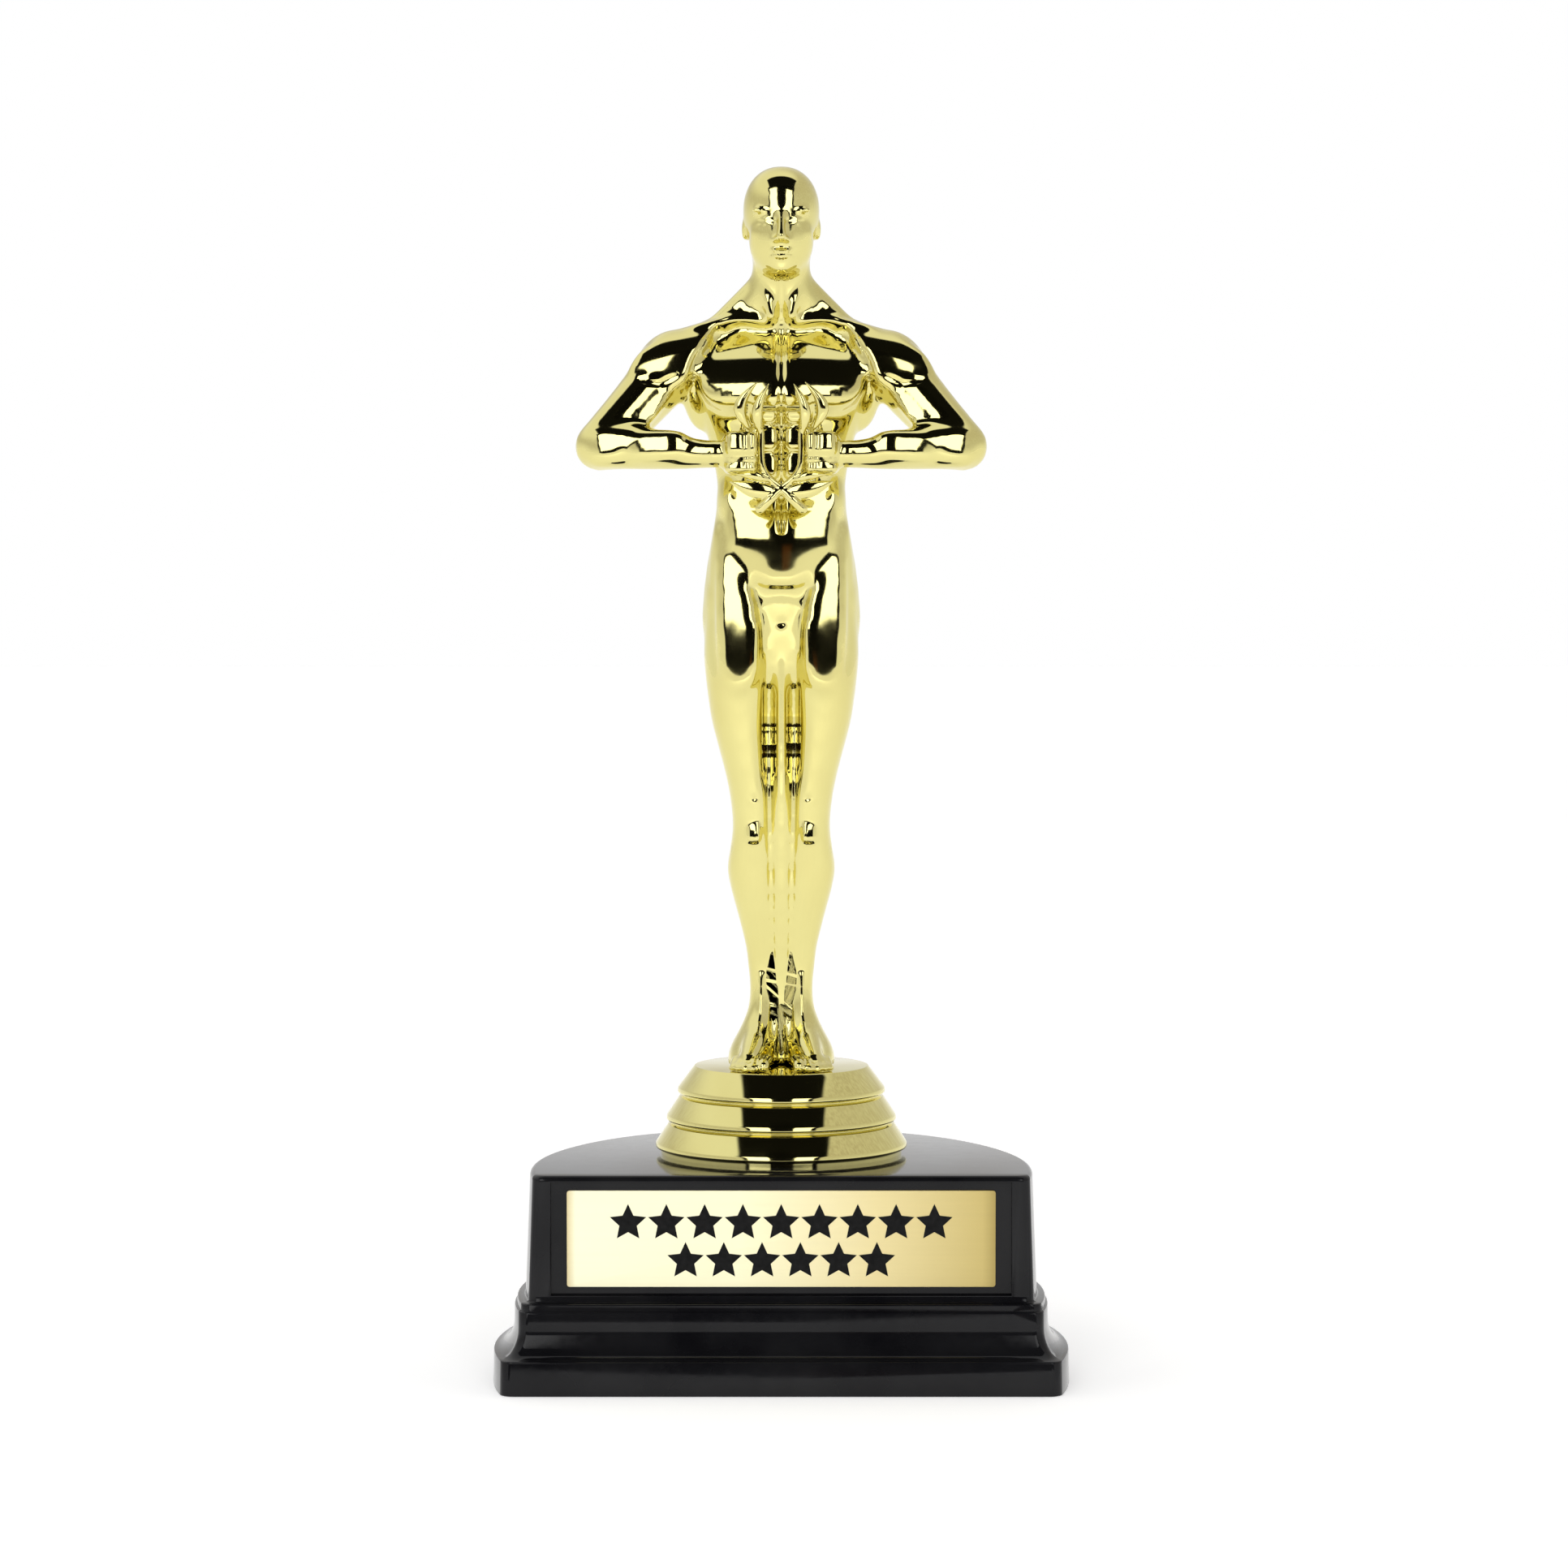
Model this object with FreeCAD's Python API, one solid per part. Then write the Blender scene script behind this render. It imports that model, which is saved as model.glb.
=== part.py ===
import FreeCAD, Part
import math
import os

# Statuette trophy: a hollow plated plastic figure that holds an open laurel wreath, on a round
# three-step riser, bolted to a hollow black base that is D-shaped in plan.
# Millimetres. +Z is up, the figure faces -Y, and the origin is the middle of the base's underside.

V = FreeCAD.Vector

# ---- Base: D-shaped block over a spreading plinth ----
BLOCK_WIDTH = 73.2          # widest, at the top edge
BLOCK_DEPTH = 53.0          # flat front to rounded back, at the top edge
WIDEST_BEHIND_FRONT = 10.0
CORNER_RADIUS = 1.6         # upright corners beside the flat front
BLOCK_HEIGHT = 18.2
BLOCK_DRAFT = 0.65          # how far the block spreads from top to bottom
TOP_EDGE_ROUND = 0.7
LEDGE_HEIGHT = 1.0
LEDGE_SPREAD = 1.2
BAND_HEIGHT = 2.5
BAND_SPREAD = 0.45
COVE_HEIGHT = 4.2
COVE_SPREAD = 3.0
PLINTH_HEIGHT = 5.0
PLINTH_DRAFT = 0.1
BASE_WALL = 2.0
BASE_TOP_WALL = 2.6

# ---- Name plate in its recess ----
PLATE_WIDTH = 61.6
PLATE_HEIGHT = 13.9
PLATE_THICKNESS = 0.4
TAPE_THICKNESS = 0.15
TAPE_MARGIN = 1.5
RECESS_SIDE_MARGIN = 2.3
RECESS_END_MARGIN = 1.2
RECESS_DEPTH = 0.55
RECESS_BELOW_TOP = 0.9

# ---- Riser: three cone bands, each with a rounded rim over a neck ----
RISER_TOP_RADIUS = 13.0
RISER_CONE_HEIGHT = 4.0     # top face to first rim
RISER_RIM_PITCH = 4.1       # rim to rim
RISER_SLOPE = 0.65          # radius gained per millimetre down a band
RISER_RIM_STEP = 1.65       # radius gained from rim to rim
RISER_NECK_IN = 0.9
RISER_NECK_DROP = 1.1
RISER_BAND_DROP = 1.6       # rim to the next band's upper edge
RISER_RIMS = 3
RISER_FOOT_HEIGHT = 0.8
RISER_WALL = 1.6
RISER_TOP_WALL = 2.6
RISER_BOSS_RADIUS = 7.0
RISER_SEAT = 2.4            # plastic between the bolt head and the base

# ---- Bolt, nut and washers ----
BOLT_DIAMETER = 5.0
BOLT_LENGTH = 30.0
BOLT_HEAD_FLATS = 8.0
BOLT_HEAD_HEIGHT = 3.5
NUT_HEIGHT = 4.0
WASHER_DIAMETER = 15.0
WASHER_THICKNESS = 1.0
LOCK_WASHER_DIAMETER = 9.2
LOCK_WASHER_THICKNESS = 1.2
LOCK_WASHER_GAP = 0.9
BOLT_CLEARANCE = 0.25
HEAD_CLEARANCE = 0.05

# ---- Ballast and underside pad ----
BASE_BOSS_RADIUS = 6.5
BASE_BOSS_DROP = 5.2
RIB_THICKNESS = 1.4
WEIGHT_THICKNESS = 10.0
WEIGHT_CLEARANCE = 1.0
PAD_THICKNESS = 0.8
PAD_CLEARANCE = 0.2
RIM_WIDTH = 1.2             # plinth wall left outside the pad
PAD_LEDGE = 1.4             # plinth wall that the pad is stuck to

# ---- Figure ----
FIGURE_SCALE = 1.0          # at 1.0 the figure is 133.9 high
FIGURE_WALL = 1.4
PIN_RADIUS = 0.9
PIN_LENGTH = 1.8
PEG_RADIUS = 1.2
PEG_LENGTH = 1.8
FIT_CLEARANCE = 0.08

# ---- Wreath, before the figure's scale; heights are above the soles ----
STEM_RADIUS = 0.6
GRIP_CLEARANCE = 0.15
CROSSING_HEIGHT = 86.0
STEM_LEAN = 41.0            # degrees, where the two stems cross
STEM_TAIL = 4.0
LOWER_BEND = 3.5
UPRIGHT_X = 4.1             # stem's place inside the fist
UPRIGHT_TOP = 95.4
UPPER_BEND = 3.8
TIP_TURN = 42.0
LEAF_THICKNESS = 0.8
LEAF_LENGTH = 3.4
LEAF_WIDTH = 1.5
LEAF_SPLAY = 34.0
LOW_LEAF_LEAN = 7.0
LOW_LEAF_LENGTH = 7.0
LOW_LEAF_WIDTH = 1.6

# ---- Levels worked out from the sizes above ----
COVE_TOP = PLINTH_HEIGHT + COVE_HEIGHT
BAND_TOP = COVE_TOP + BAND_HEIGHT
BLOCK_BOTTOM = BAND_TOP + LEDGE_HEIGHT
BASE_TOP = BLOCK_BOTTOM + BLOCK_HEIGHT
RISER_HEIGHT = RISER_CONE_HEIGHT + (RISER_RIMS - 1) * RISER_RIM_PITCH + RISER_FOOT_HEIGHT
RISER_TOP = BASE_TOP + RISER_HEIGHT
HEAD_BOTTOM = BASE_TOP + RISER_SEAT
WEIGHT_TOP = BASE_TOP - BASE_TOP_WALL - BASE_BOSS_DROP
WEIGHT_BOTTOM = WEIGHT_TOP - WEIGHT_THICKNESS
FRONT = -BLOCK_DEPTH / 2


# ---------------------------------------------------------------- general helpers

def box(x0, x1, y0, y1, z0, z1):
    return Part.makeBox(x1 - x0, y1 - y0, z1 - z0, V(x0, y0, z0))


def rod(radius, z0, z1, x=0.0, y=0.0):
    return Part.makeCylinder(radius, z1 - z0, V(x, y, z0))


def hexagon(flats, z0, z1):
    radius = flats / math.sqrt(3)
    corners = [V(radius * math.cos(math.radians(60 * i)), radius * math.sin(math.radians(60 * i)), z0)
               for i in range(7)]
    return Part.Face(Part.makePolygon(corners)).extrude(V(0, 0, z1 - z0))


def mirrored(shape):
    return shape.mirror(V(0, 0, 0), V(1, 0, 0))


def both_sides(shape):
    return [shape, mirrored(shape)]


def revolve_profile(points):
    """Solid of revolution about Z from (radius, z) points."""
    corners = [V(r, 0, z) for r, z in points]
    face = Part.Face(Part.makePolygon(corners + corners[:1]))
    return face.revolve(V(0, 0, 0), V(0, 0, 1), 360)


# ---------------------------------------------------------------- D-shaped outline

def d_outline(spread, corner, z):
    """Flat front, two upright corners, two side arcs and a tangent back arc, grown by spread."""
    half = BLOCK_WIDTH / 2
    length = BLOCK_DEPTH - WIDEST_BEHIND_FRONT
    side_radius = length ** 2 / half
    side_x = half - side_radius
    side_y = FRONT + WIDEST_BEHIND_FRONT
    back_radius = (side_radius ** 2 - side_x ** 2 - length ** 2) / (2 * (side_radius - length))
    back_y = BLOCK_DEPTH / 2 - back_radius
    front = FRONT - spread
    rs = side_radius + spread
    rb = back_radius + spread
    # where the side arc runs into the back arc
    toward_back = V(-side_x, back_y - side_y, 0) / (side_radius - back_radius)
    join = V(side_x, side_y, 0) + toward_back * rs
    # the corner circle touches the front line and the side arc
    corner_y = front + corner
    corner_x = side_x + math.sqrt((rs - corner) ** 2 - (corner_y - side_y) ** 2)
    outward = V(corner_x - side_x, corner_y - side_y, 0)
    outward.normalize()
    corner_end = V(corner_x, corner_y, 0) + outward * corner
    corner_middle = outward + V(0, -1, 0)
    corner_middle.normalize()
    corner_middle = V(corner_x, corner_y, 0) + corner_middle * corner
    side_middle = (corner_end + join) / 2 - V(side_x, side_y, 0)
    side_middle.normalize()
    side_middle = V(side_x, side_y, 0) + side_middle * rs
    up = V(0, 0, z)

    def flip(p):
        return V(-p.x, p.y, p.z)

    front_right = V(corner_x, front, 0)
    back = V(0, back_y + rb, 0)
    edges = [
        Part.LineSegment(flip(front_right) + up, front_right + up),
        Part.Arc(front_right + up, corner_middle + up, corner_end + up),
        Part.Arc(corner_end + up, side_middle + up, join + up),
        Part.Arc(join + up, back + up, flip(join) + up),
        Part.Arc(flip(join) + up, flip(side_middle) + up, flip(corner_end) + up),
        Part.Arc(flip(corner_end) + up, flip(corner_middle) + up, flip(front_right) + up),
    ]
    return Part.Wire([e.toShape() for e in edges])


def d_block(levels):
    """Solid through D outlines, one for each (spread, corner, z) level."""
    return Part.makeLoft([d_outline(s, c, z) for s, c, z in levels], True, True)


# ---------------------------------------------------------------- base

def base_levels():
    """(spread, z) up the outside of the base, from the floor to the top edge."""
    band_foot = BLOCK_DRAFT + LEDGE_SPREAD + BAND_SPREAD
    levels = [(band_foot + COVE_SPREAD + PLINTH_DRAFT, 0.0)]
    for step in range(5):
        turn = math.radians(22.5 * step)
        levels.append((band_foot + COVE_SPREAD * (1 - math.sin(turn)),
                       PLINTH_HEIGHT + COVE_HEIGHT * (1 - math.cos(turn))))
    levels.append((BLOCK_DRAFT + LEDGE_SPREAD, BAND_TOP))
    levels.append((BLOCK_DRAFT, BLOCK_BOTTOM))
    for step in range(4):
        turn = math.radians(30 * step)
        levels.append((TOP_EDGE_ROUND * (math.cos(turn) - 1),
                       BASE_TOP - TOP_EDGE_ROUND * (1 - math.sin(turn))))
    return levels


def plate_bottom():
    return BASE_TOP - RECESS_BELOW_TOP - RECESS_END_MARGIN - PLATE_HEIGHT


def recess_floor():
    return FRONT + RECESS_DEPTH


def make_base_shell():
    levels = base_levels()
    outside = d_block([(s, CORNER_RADIUS, z) for s, z in levels])
    spread = levels[0][0]
    cavity_levels = [(spread - RIM_WIDTH - PAD_LEDGE, -1.0)]
    cavity_levels += [(spread - RIM_WIDTH - PAD_LEDGE, PLINTH_HEIGHT)]
    cavity_levels += [(BLOCK_DRAFT - BASE_WALL, COVE_TOP), (-BASE_WALL, BASE_TOP - BASE_TOP_WALL)]
    cavity = d_block([(s, CORNER_RADIUS, z) for s, z in cavity_levels])
    rebate = d_block([(spread - RIM_WIDTH, CORNER_RADIUS, -1.0),
                      (spread - RIM_WIDTH, CORNER_RADIUS, PAD_THICKNESS)])
    shell = outside.cut(cavity).cut(rebate)
    boss = rod(BASE_BOSS_RADIUS, WEIGHT_TOP, BASE_TOP - TOP_EDGE_ROUND)
    t = RIB_THICKNESS / 2
    ribs_top = BASE_TOP - BASE_TOP_WALL / 2
    ribs = [box(-BLOCK_WIDTH / 2, BLOCK_WIDTH / 2, -t, t, WEIGHT_TOP, ribs_top),
            box(-t, t, FRONT + BASE_WALL, BLOCK_DEPTH / 2, WEIGHT_TOP, ribs_top)]
    inside = d_block([(-BASE_WALL / 2, CORNER_RADIUS, WEIGHT_TOP), (-BASE_WALL / 2, CORNER_RADIUS, ribs_top)])
    shell = shell.fuse([boss] + [rib.common(inside) for rib in ribs])
    shell = shell.cut(rod(BOLT_DIAMETER / 2 + BOLT_CLEARANCE, 0, BASE_TOP + 1))
    half = PLATE_WIDTH / 2 + RECESS_SIDE_MARGIN
    low = plate_bottom() - RECESS_END_MARGIN
    recess = box(-half, half, FRONT - BLOCK_DRAFT - 1, recess_floor(), low, BASE_TOP - RECESS_BELOW_TOP)
    return shell.cut(recess).removeSplitter()


def make_plate_tape():
    z = plate_bottom()
    half = PLATE_WIDTH / 2 - TAPE_MARGIN
    return box(-half, half, recess_floor() - TAPE_THICKNESS, recess_floor(),
               z + TAPE_MARGIN, z + PLATE_HEIGHT - TAPE_MARGIN)


def make_name_plate():
    back = recess_floor() - TAPE_THICKNESS
    z = plate_bottom()
    half = PLATE_WIDTH / 2
    plate = box(-half, half, back - PLATE_THICKNESS, back, z, z + PLATE_HEIGHT)
    corners = [e for e in plate.Edges if abs(e.Vertexes[0].Y - e.Vertexes[-1].Y) > PLATE_THICKNESS / 2]
    return plate.makeFillet(PLATE_THICKNESS, corners)


def make_base_weight():
    s = -BASE_WALL - WEIGHT_CLEARANCE
    slab = d_block([(s, CORNER_RADIUS, WEIGHT_BOTTOM), (s, CORNER_RADIUS, WEIGHT_TOP)])
    return slab.cut(rod(BOLT_DIAMETER / 2 + BOLT_CLEARANCE, 0, BASE_TOP))


def make_base_pad():
    s = base_levels()[0][0] - RIM_WIDTH - PAD_CLEARANCE
    return d_block([(s, CORNER_RADIUS, 0.0), (s, CORNER_RADIUS, PAD_THICKNESS)])


# ---------------------------------------------------------------- fasteners

def make_hex_bolt():
    shank = rod(BOLT_DIAMETER / 2, HEAD_BOTTOM - BOLT_LENGTH, HEAD_BOTTOM)
    return shank.fuse(hexagon(BOLT_HEAD_FLATS, HEAD_BOTTOM, HEAD_BOTTOM + BOLT_HEAD_HEIGHT))


def ring(outer, z0, z1):
    hole = BOLT_DIAMETER / 2 + BOLT_CLEARANCE
    return rod(outer, z0, z1).cut(rod(hole, z0 - 1, z1 + 1))


def make_flat_washer():
    return ring(WASHER_DIAMETER / 2, WEIGHT_BOTTOM - WASHER_THICKNESS, WEIGHT_BOTTOM)


def make_lock_washer():
    top = WEIGHT_BOTTOM - WASHER_THICKNESS
    coil = ring(LOCK_WASHER_DIAMETER / 2, top - LOCK_WASHER_THICKNESS, top)
    slit = box(0, LOCK_WASHER_DIAMETER, -LOCK_WASHER_GAP / 2, LOCK_WASHER_GAP / 2, 0, top + 1)
    return coil.cut(slit)


def make_hex_nut():
    top = WEIGHT_BOTTOM - WASHER_THICKNESS - LOCK_WASHER_THICKNESS
    thread = rod(BOLT_DIAMETER / 2 + HEAD_CLEARANCE, 0, BASE_TOP)
    return hexagon(BOLT_HEAD_FLATS, top - NUT_HEIGHT, top).cut(thread)


# ---------------------------------------------------------------- riser

def riser_outside():
    """(radius, z) down the outside, from the top face's edge to the foot."""
    rim_radius = RISER_TOP_RADIUS + RISER_SLOPE * RISER_CONE_HEIGHT
    rim_z = RISER_TOP - RISER_CONE_HEIGHT
    points = [(RISER_TOP_RADIUS, RISER_TOP)]
    for rim in range(RISER_RIMS):
        points.append((rim_radius, rim_z))
        if rim < RISER_RIMS - 1:
            points.append((rim_radius - RISER_NECK_IN, rim_z - RISER_NECK_DROP))
            rim_radius += RISER_RIM_STEP
            rim_z -= RISER_RIM_PITCH
            rise = RISER_RIM_PITCH - RISER_BAND_DROP
            points.append((rim_radius - RISER_SLOPE * rise, rim_z + rise))
    points.append((rim_radius - RISER_NECK_IN, BASE_TOP))
    return points


def peg_places():
    return [(3.9 * FIGURE_SCALE, -5.0 * FIGURE_SCALE), (2.9 * FIGURE_SCALE, 4.6 * FIGURE_SCALE)]


def make_riser():
    outside = riser_outside()
    solid = revolve_profile([(0, RISER_TOP)] + outside + [(0, BASE_TOP)])
    roof = RISER_TOP - RISER_TOP_WALL
    hollow = revolve_profile([(RISER_BOSS_RADIUS, roof), (RISER_TOP_RADIUS - RISER_WALL, roof),
                              (outside[-1][0] - RISER_WALL - RISER_NECK_IN, BASE_TOP),
                              (RISER_BOSS_RADIUS, BASE_TOP)])
    shell = solid.cut(hollow)
    c = HEAD_CLEARANCE
    pocket = hexagon(BOLT_HEAD_FLATS + 2 * c, HEAD_BOTTOM - c, HEAD_BOTTOM + BOLT_HEAD_HEIGHT + c)
    shell = shell.cut(pocket).cut(rod(BOLT_DIAMETER / 2 + c, BASE_TOP - 1, HEAD_BOTTOM + c))
    for x, y in peg_places():
        for side in (-1, 1):
            shell = shell.cut(rod(PEG_RADIUS + FIT_CLEARANCE, RISER_TOP - PEG_LENGTH - FIT_CLEARANCE,
                                  RISER_TOP + 1, side * x, y))
    return shell


# ---------------------------------------------------------------- figure
# Heights below are above the soles, in millimetres on a figure 133.9 high.

def oval(x, y, z, rx, ry):
    circle = Part.makeCircle(1.0)
    place = FreeCAD.Matrix()
    place.scale(rx * FIGURE_SCALE, ry * FIGURE_SCALE, 1)
    place.move(V(x * FIGURE_SCALE, y * FIGURE_SCALE, RISER_TOP + z * FIGURE_SCALE))
    return Part.Wire(circle.transformGeometry(place))


def stack(rows):
    """Solid through ovals given as (z, x, y, half width, half depth)."""
    return Part.makeLoft([oval(x, y, z, rx, ry) for z, x, y, rx, ry in rows], True, False)


def ball(x, y, z, rx, ry, rz):
    place = FreeCAD.Matrix()
    place.scale(rx * FIGURE_SCALE, ry * FIGURE_SCALE, rz * FIGURE_SCALE)
    place.move(V(x * FIGURE_SCALE, y * FIGURE_SCALE, RISER_TOP + z * FIGURE_SCALE))
    return Part.makeSphere(1.0).transformGeometry(place)


def limb(start, end, radii):
    """Round-ended limb between two joints, with its radii evenly spaced from start to end."""
    a = V(*start) * FIGURE_SCALE
    b = V(*end) * FIGURE_SCALE
    length = (b - a).Length
    r = [value * FIGURE_SCALE for value in radii]
    waists = [V(value, 0, length * i / (len(r) - 1)) for i, value in enumerate(r)]
    bottom, tip = V(0, 0, -r[0]), V(0, 0, length + r[-1])
    half_turn = math.sqrt(0.5)
    edges = [Part.Arc(bottom, V(r[0], 0, -r[0]) * half_turn, waists[0]).toShape()]
    edges += [Part.makeLine(p, q) for p, q in zip(waists, waists[1:])]
    tip_middle = V(r[-1] * half_turn, 0, length + r[-1] * half_turn)
    edges.append(Part.Arc(waists[-1], tip_middle, tip).toShape())
    edges.append(Part.makeLine(tip, bottom))
    solid = Part.Face(Part.Wire(edges)).revolve(V(0, 0, 0), V(0, 0, 1), 360)
    turn = FreeCAD.Rotation(V(0, 0, 1), b - a)
    solid.Placement = FreeCAD.Placement(V(a.x, a.y, a.z + RISER_TOP), turn)
    return solid


# (height, x, y, half width, half depth)
TORSO = [(57.0, 0, 0.3, 7.0, 4.2), (63.0, 0, 0.4, 11.2, 6.2), (69.0, 0, 0.5, 11.8, 6.9),
         (78.0, 0, -0.2, 10.4, 5.9), (86.5, 0, -0.5, 9.7, 5.2), (94.0, 0, -0.6, 10.6, 5.8),
         (103.0, 0, -0.4, 12.4, 6.5), (109.5, 0, 0.2, 10.4, 5.4), (113.5, 0, 0.9, 5.6, 3.9),
         (117.0, 0, 0.8, 4.0, 3.8), (121.0, 0, 0.2, 3.9, 3.9)]
# joints and muscle ends, on the figure's left side: (x, y, height)
SHOULDER = (16.6, 0.4, 104.8)
ELBOW = (27.0, -6.4, 91.6)
WRIST = (9.8, -10.9, 91.0)
CHEST_INNER = (2.4, -3.0, 104.8)
CHEST_OUTER = (7.8, -1.6, 105.6)
COLLAR_INNER = (3.0, 1.3, 111.0)
COLLAR_OUTER = (14.6, 0.8, 106.4)
HIP = (5.4, 0.2, 64.0)
KNEE = (4.0, 1.0, 36.0)
ANKLE = (3.0, 3.2, 7.0)
HEEL = (3.0, 4.0, 2.2)
TOES = (4.6, -8.4, 1.2)
FIST = (5.2, -11.6, 90.8)
FIST_HALF = (2.7, 2.9, 3.6)
# radii along each limb
UPPER_ARM = [5.2, 5.0, 4.1, 3.6]
FOREARM = [3.6, 3.5, 2.8, 2.4]
CHEST = [3.9, 4.2, 3.8]
COLLAR = [2.8, 3.2, 3.9]
THIGH = [3.6, 4.5, 5.3, 5.7, 5.2]
SHIN = [1.9, 2.5, 4.1, 4.1, 3.6]
FOOT = [2.7, 2.7, 2.2]
HEAD = (0.0, -0.6, 126.2)
HEAD_HALF = (5.7, 6.3, 7.7)
WEB = (1.3, -1.2, 2.6, 60.0)    # half width, front, back and top of the web between the legs


def fist():
    x, y, z = [value * FIGURE_SCALE for value in FIST]
    hx, hy, hz = [value * FIGURE_SCALE for value in FIST_HALF]
    block = box(x - hx, x + hx, y - hy, y + hy, RISER_TOP + z - hz, RISER_TOP + z + hz)
    return block.makeFillet(min(hx, hy) * 0.45, block.Edges)


def grip_slot():
    """Slot from the inner side and back of a fist to the wreath's stem, so that it clips in from behind."""
    inner = (FIST[0] - FIST_HALF[0] - 1) * FIGURE_SCALE
    outer = UPRIGHT_X * FIGURE_SCALE + STEM_RADIUS + GRIP_CLEARANCE
    front = FIST[1] * FIGURE_SCALE - STEM_RADIUS - GRIP_CLEARANCE
    low = RISER_TOP + (FIST[2] - FIST_HALF[2] - 1) * FIGURE_SCALE
    high = RISER_TOP + (FIST[2] + FIST_HALF[2] + 1) * FIGURE_SCALE
    return box(inner, outer, front, (FIST[1] + FIST_HALF[1] + 1) * FIGURE_SCALE, low, high)


def figure_outside():
    side = [limb(SHOULDER, ELBOW, UPPER_ARM), limb(ELBOW, WRIST, FOREARM), fist(),
            limb(CHEST_INNER, CHEST_OUTER, CHEST), limb(COLLAR_INNER, COLLAR_OUTER, COLLAR),
            limb(KNEE, HIP, THIGH),
            limb(ANKLE, KNEE, SHIN), limb(HEEL, TOES, FOOT)]
    half, front, back, top = [value * FIGURE_SCALE for value in WEB]
    pieces = [ball(*HEAD, *HEAD_HALF), box(-half, half, front, back, RISER_TOP, RISER_TOP + top)]
    for shape in side:
        pieces += both_sides(shape)
    return stack(TORSO).fuse(pieces)


def figure_hollows():
    """Insides of the trunk and of each thigh, a wall thickness in from the outside."""
    wall = FIGURE_WALL / FIGURE_SCALE
    trunk = [(z, x, y, rx - wall, ry - wall) for z, x, y, rx, ry in TORSO if 66.0 < z < 110.0]
    thigh = limb(KNEE, HIP, [radius - wall for radius in THIGH])
    below_hips = box(-BLOCK_WIDTH, BLOCK_WIDTH, -BLOCK_DEPTH, BLOCK_DEPTH, 0, RISER_TOP + 57.0 * FIGURE_SCALE)
    return [stack(trunk)] + both_sides(thigh.common(below_hips))


def pin_places():
    """(x, z) of the locating pins on the parting plane: neck and hips."""
    neck = RISER_TOP + 116.0 * FIGURE_SCALE
    hips = RISER_TOP + 62.0 * FIGURE_SCALE
    return [(0.0, neck), (-6.0 * FIGURE_SCALE, hips), (6.0 * FIGURE_SCALE, hips)]


def pin(x, z, radius, length):
    return Part.makeCylinder(radius, length + 1.0, V(x, 1.0, z), V(0, -1, 0))


def peg(x, y):
    """Foot peg from inside a foot down into the riser."""
    return rod(PEG_RADIUS, RISER_TOP - PEG_LENGTH, RISER_TOP + 1, x, y)


def make_figure_halves():
    reach = 2 * HEAD[2] * FIGURE_SCALE
    body = figure_outside()
    body = body.common(box(-reach, reach, -reach, reach, RISER_TOP, RISER_TOP + 2 * reach))
    for hollow in figure_hollows():
        body = body.cut(hollow)
    for slot in both_sides(grip_slot()):
        body = body.cut(slot)
    front = body.common(box(-reach, reach, -reach, 0, 0, 3 * reach))
    back = body.common(box(-reach, reach, 0, reach, 0, 3 * reach))
    for x, z in pin_places():
        back = back.fuse(pin(x, z, PIN_RADIUS, PIN_LENGTH))
        front = front.cut(pin(x, z, PIN_RADIUS + FIT_CLEARANCE, PIN_LENGTH + FIT_CLEARANCE))
    toe_peg, heel_peg = peg_places()
    front = front.fuse(both_sides(peg(*toe_peg)))
    back = back.fuse(both_sides(peg(*heel_peg)))
    return front, back


# ---------------------------------------------------------------- wreath

def at_figure(x, z):
    return V(x * FIGURE_SCALE, FIST[1] * FIGURE_SCALE, RISER_TOP + z * FIGURE_SCALE)


def heading(degrees):
    """Direction in the wreath's plane, from +X towards +Z."""
    return V(math.cos(math.radians(degrees)), 0, math.sin(math.radians(degrees)))


def bend(start, facing, turn, radius):
    """Arc that turns left from a point and a direction; gives the arc, its end and its new direction."""
    centre = start + heading(facing + 90) * radius
    middle = centre - heading(facing + turn / 2 + 90) * radius
    end = centre - heading(facing + turn + 90) * radius
    return Part.Arc(start, middle, end).toShape(), end, facing + turn


def leaf(root, facing, length, width):
    """Flat leaf with two curved edges that meet in points."""
    tip = root + heading(facing) * length
    half = heading(facing + 90) * width / 2
    middle = (root + tip) / 2
    outline = Part.Wire([Part.Arc(root, middle + half, tip).toShape(),
                         Part.Arc(tip, middle - half, root).toShape()])
    plate = Part.Face(outline).extrude(V(0, LEAF_THICKNESS, 0))
    plate.translate(V(0, -LEAF_THICKNESS / 2, 0))
    return plate


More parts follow.
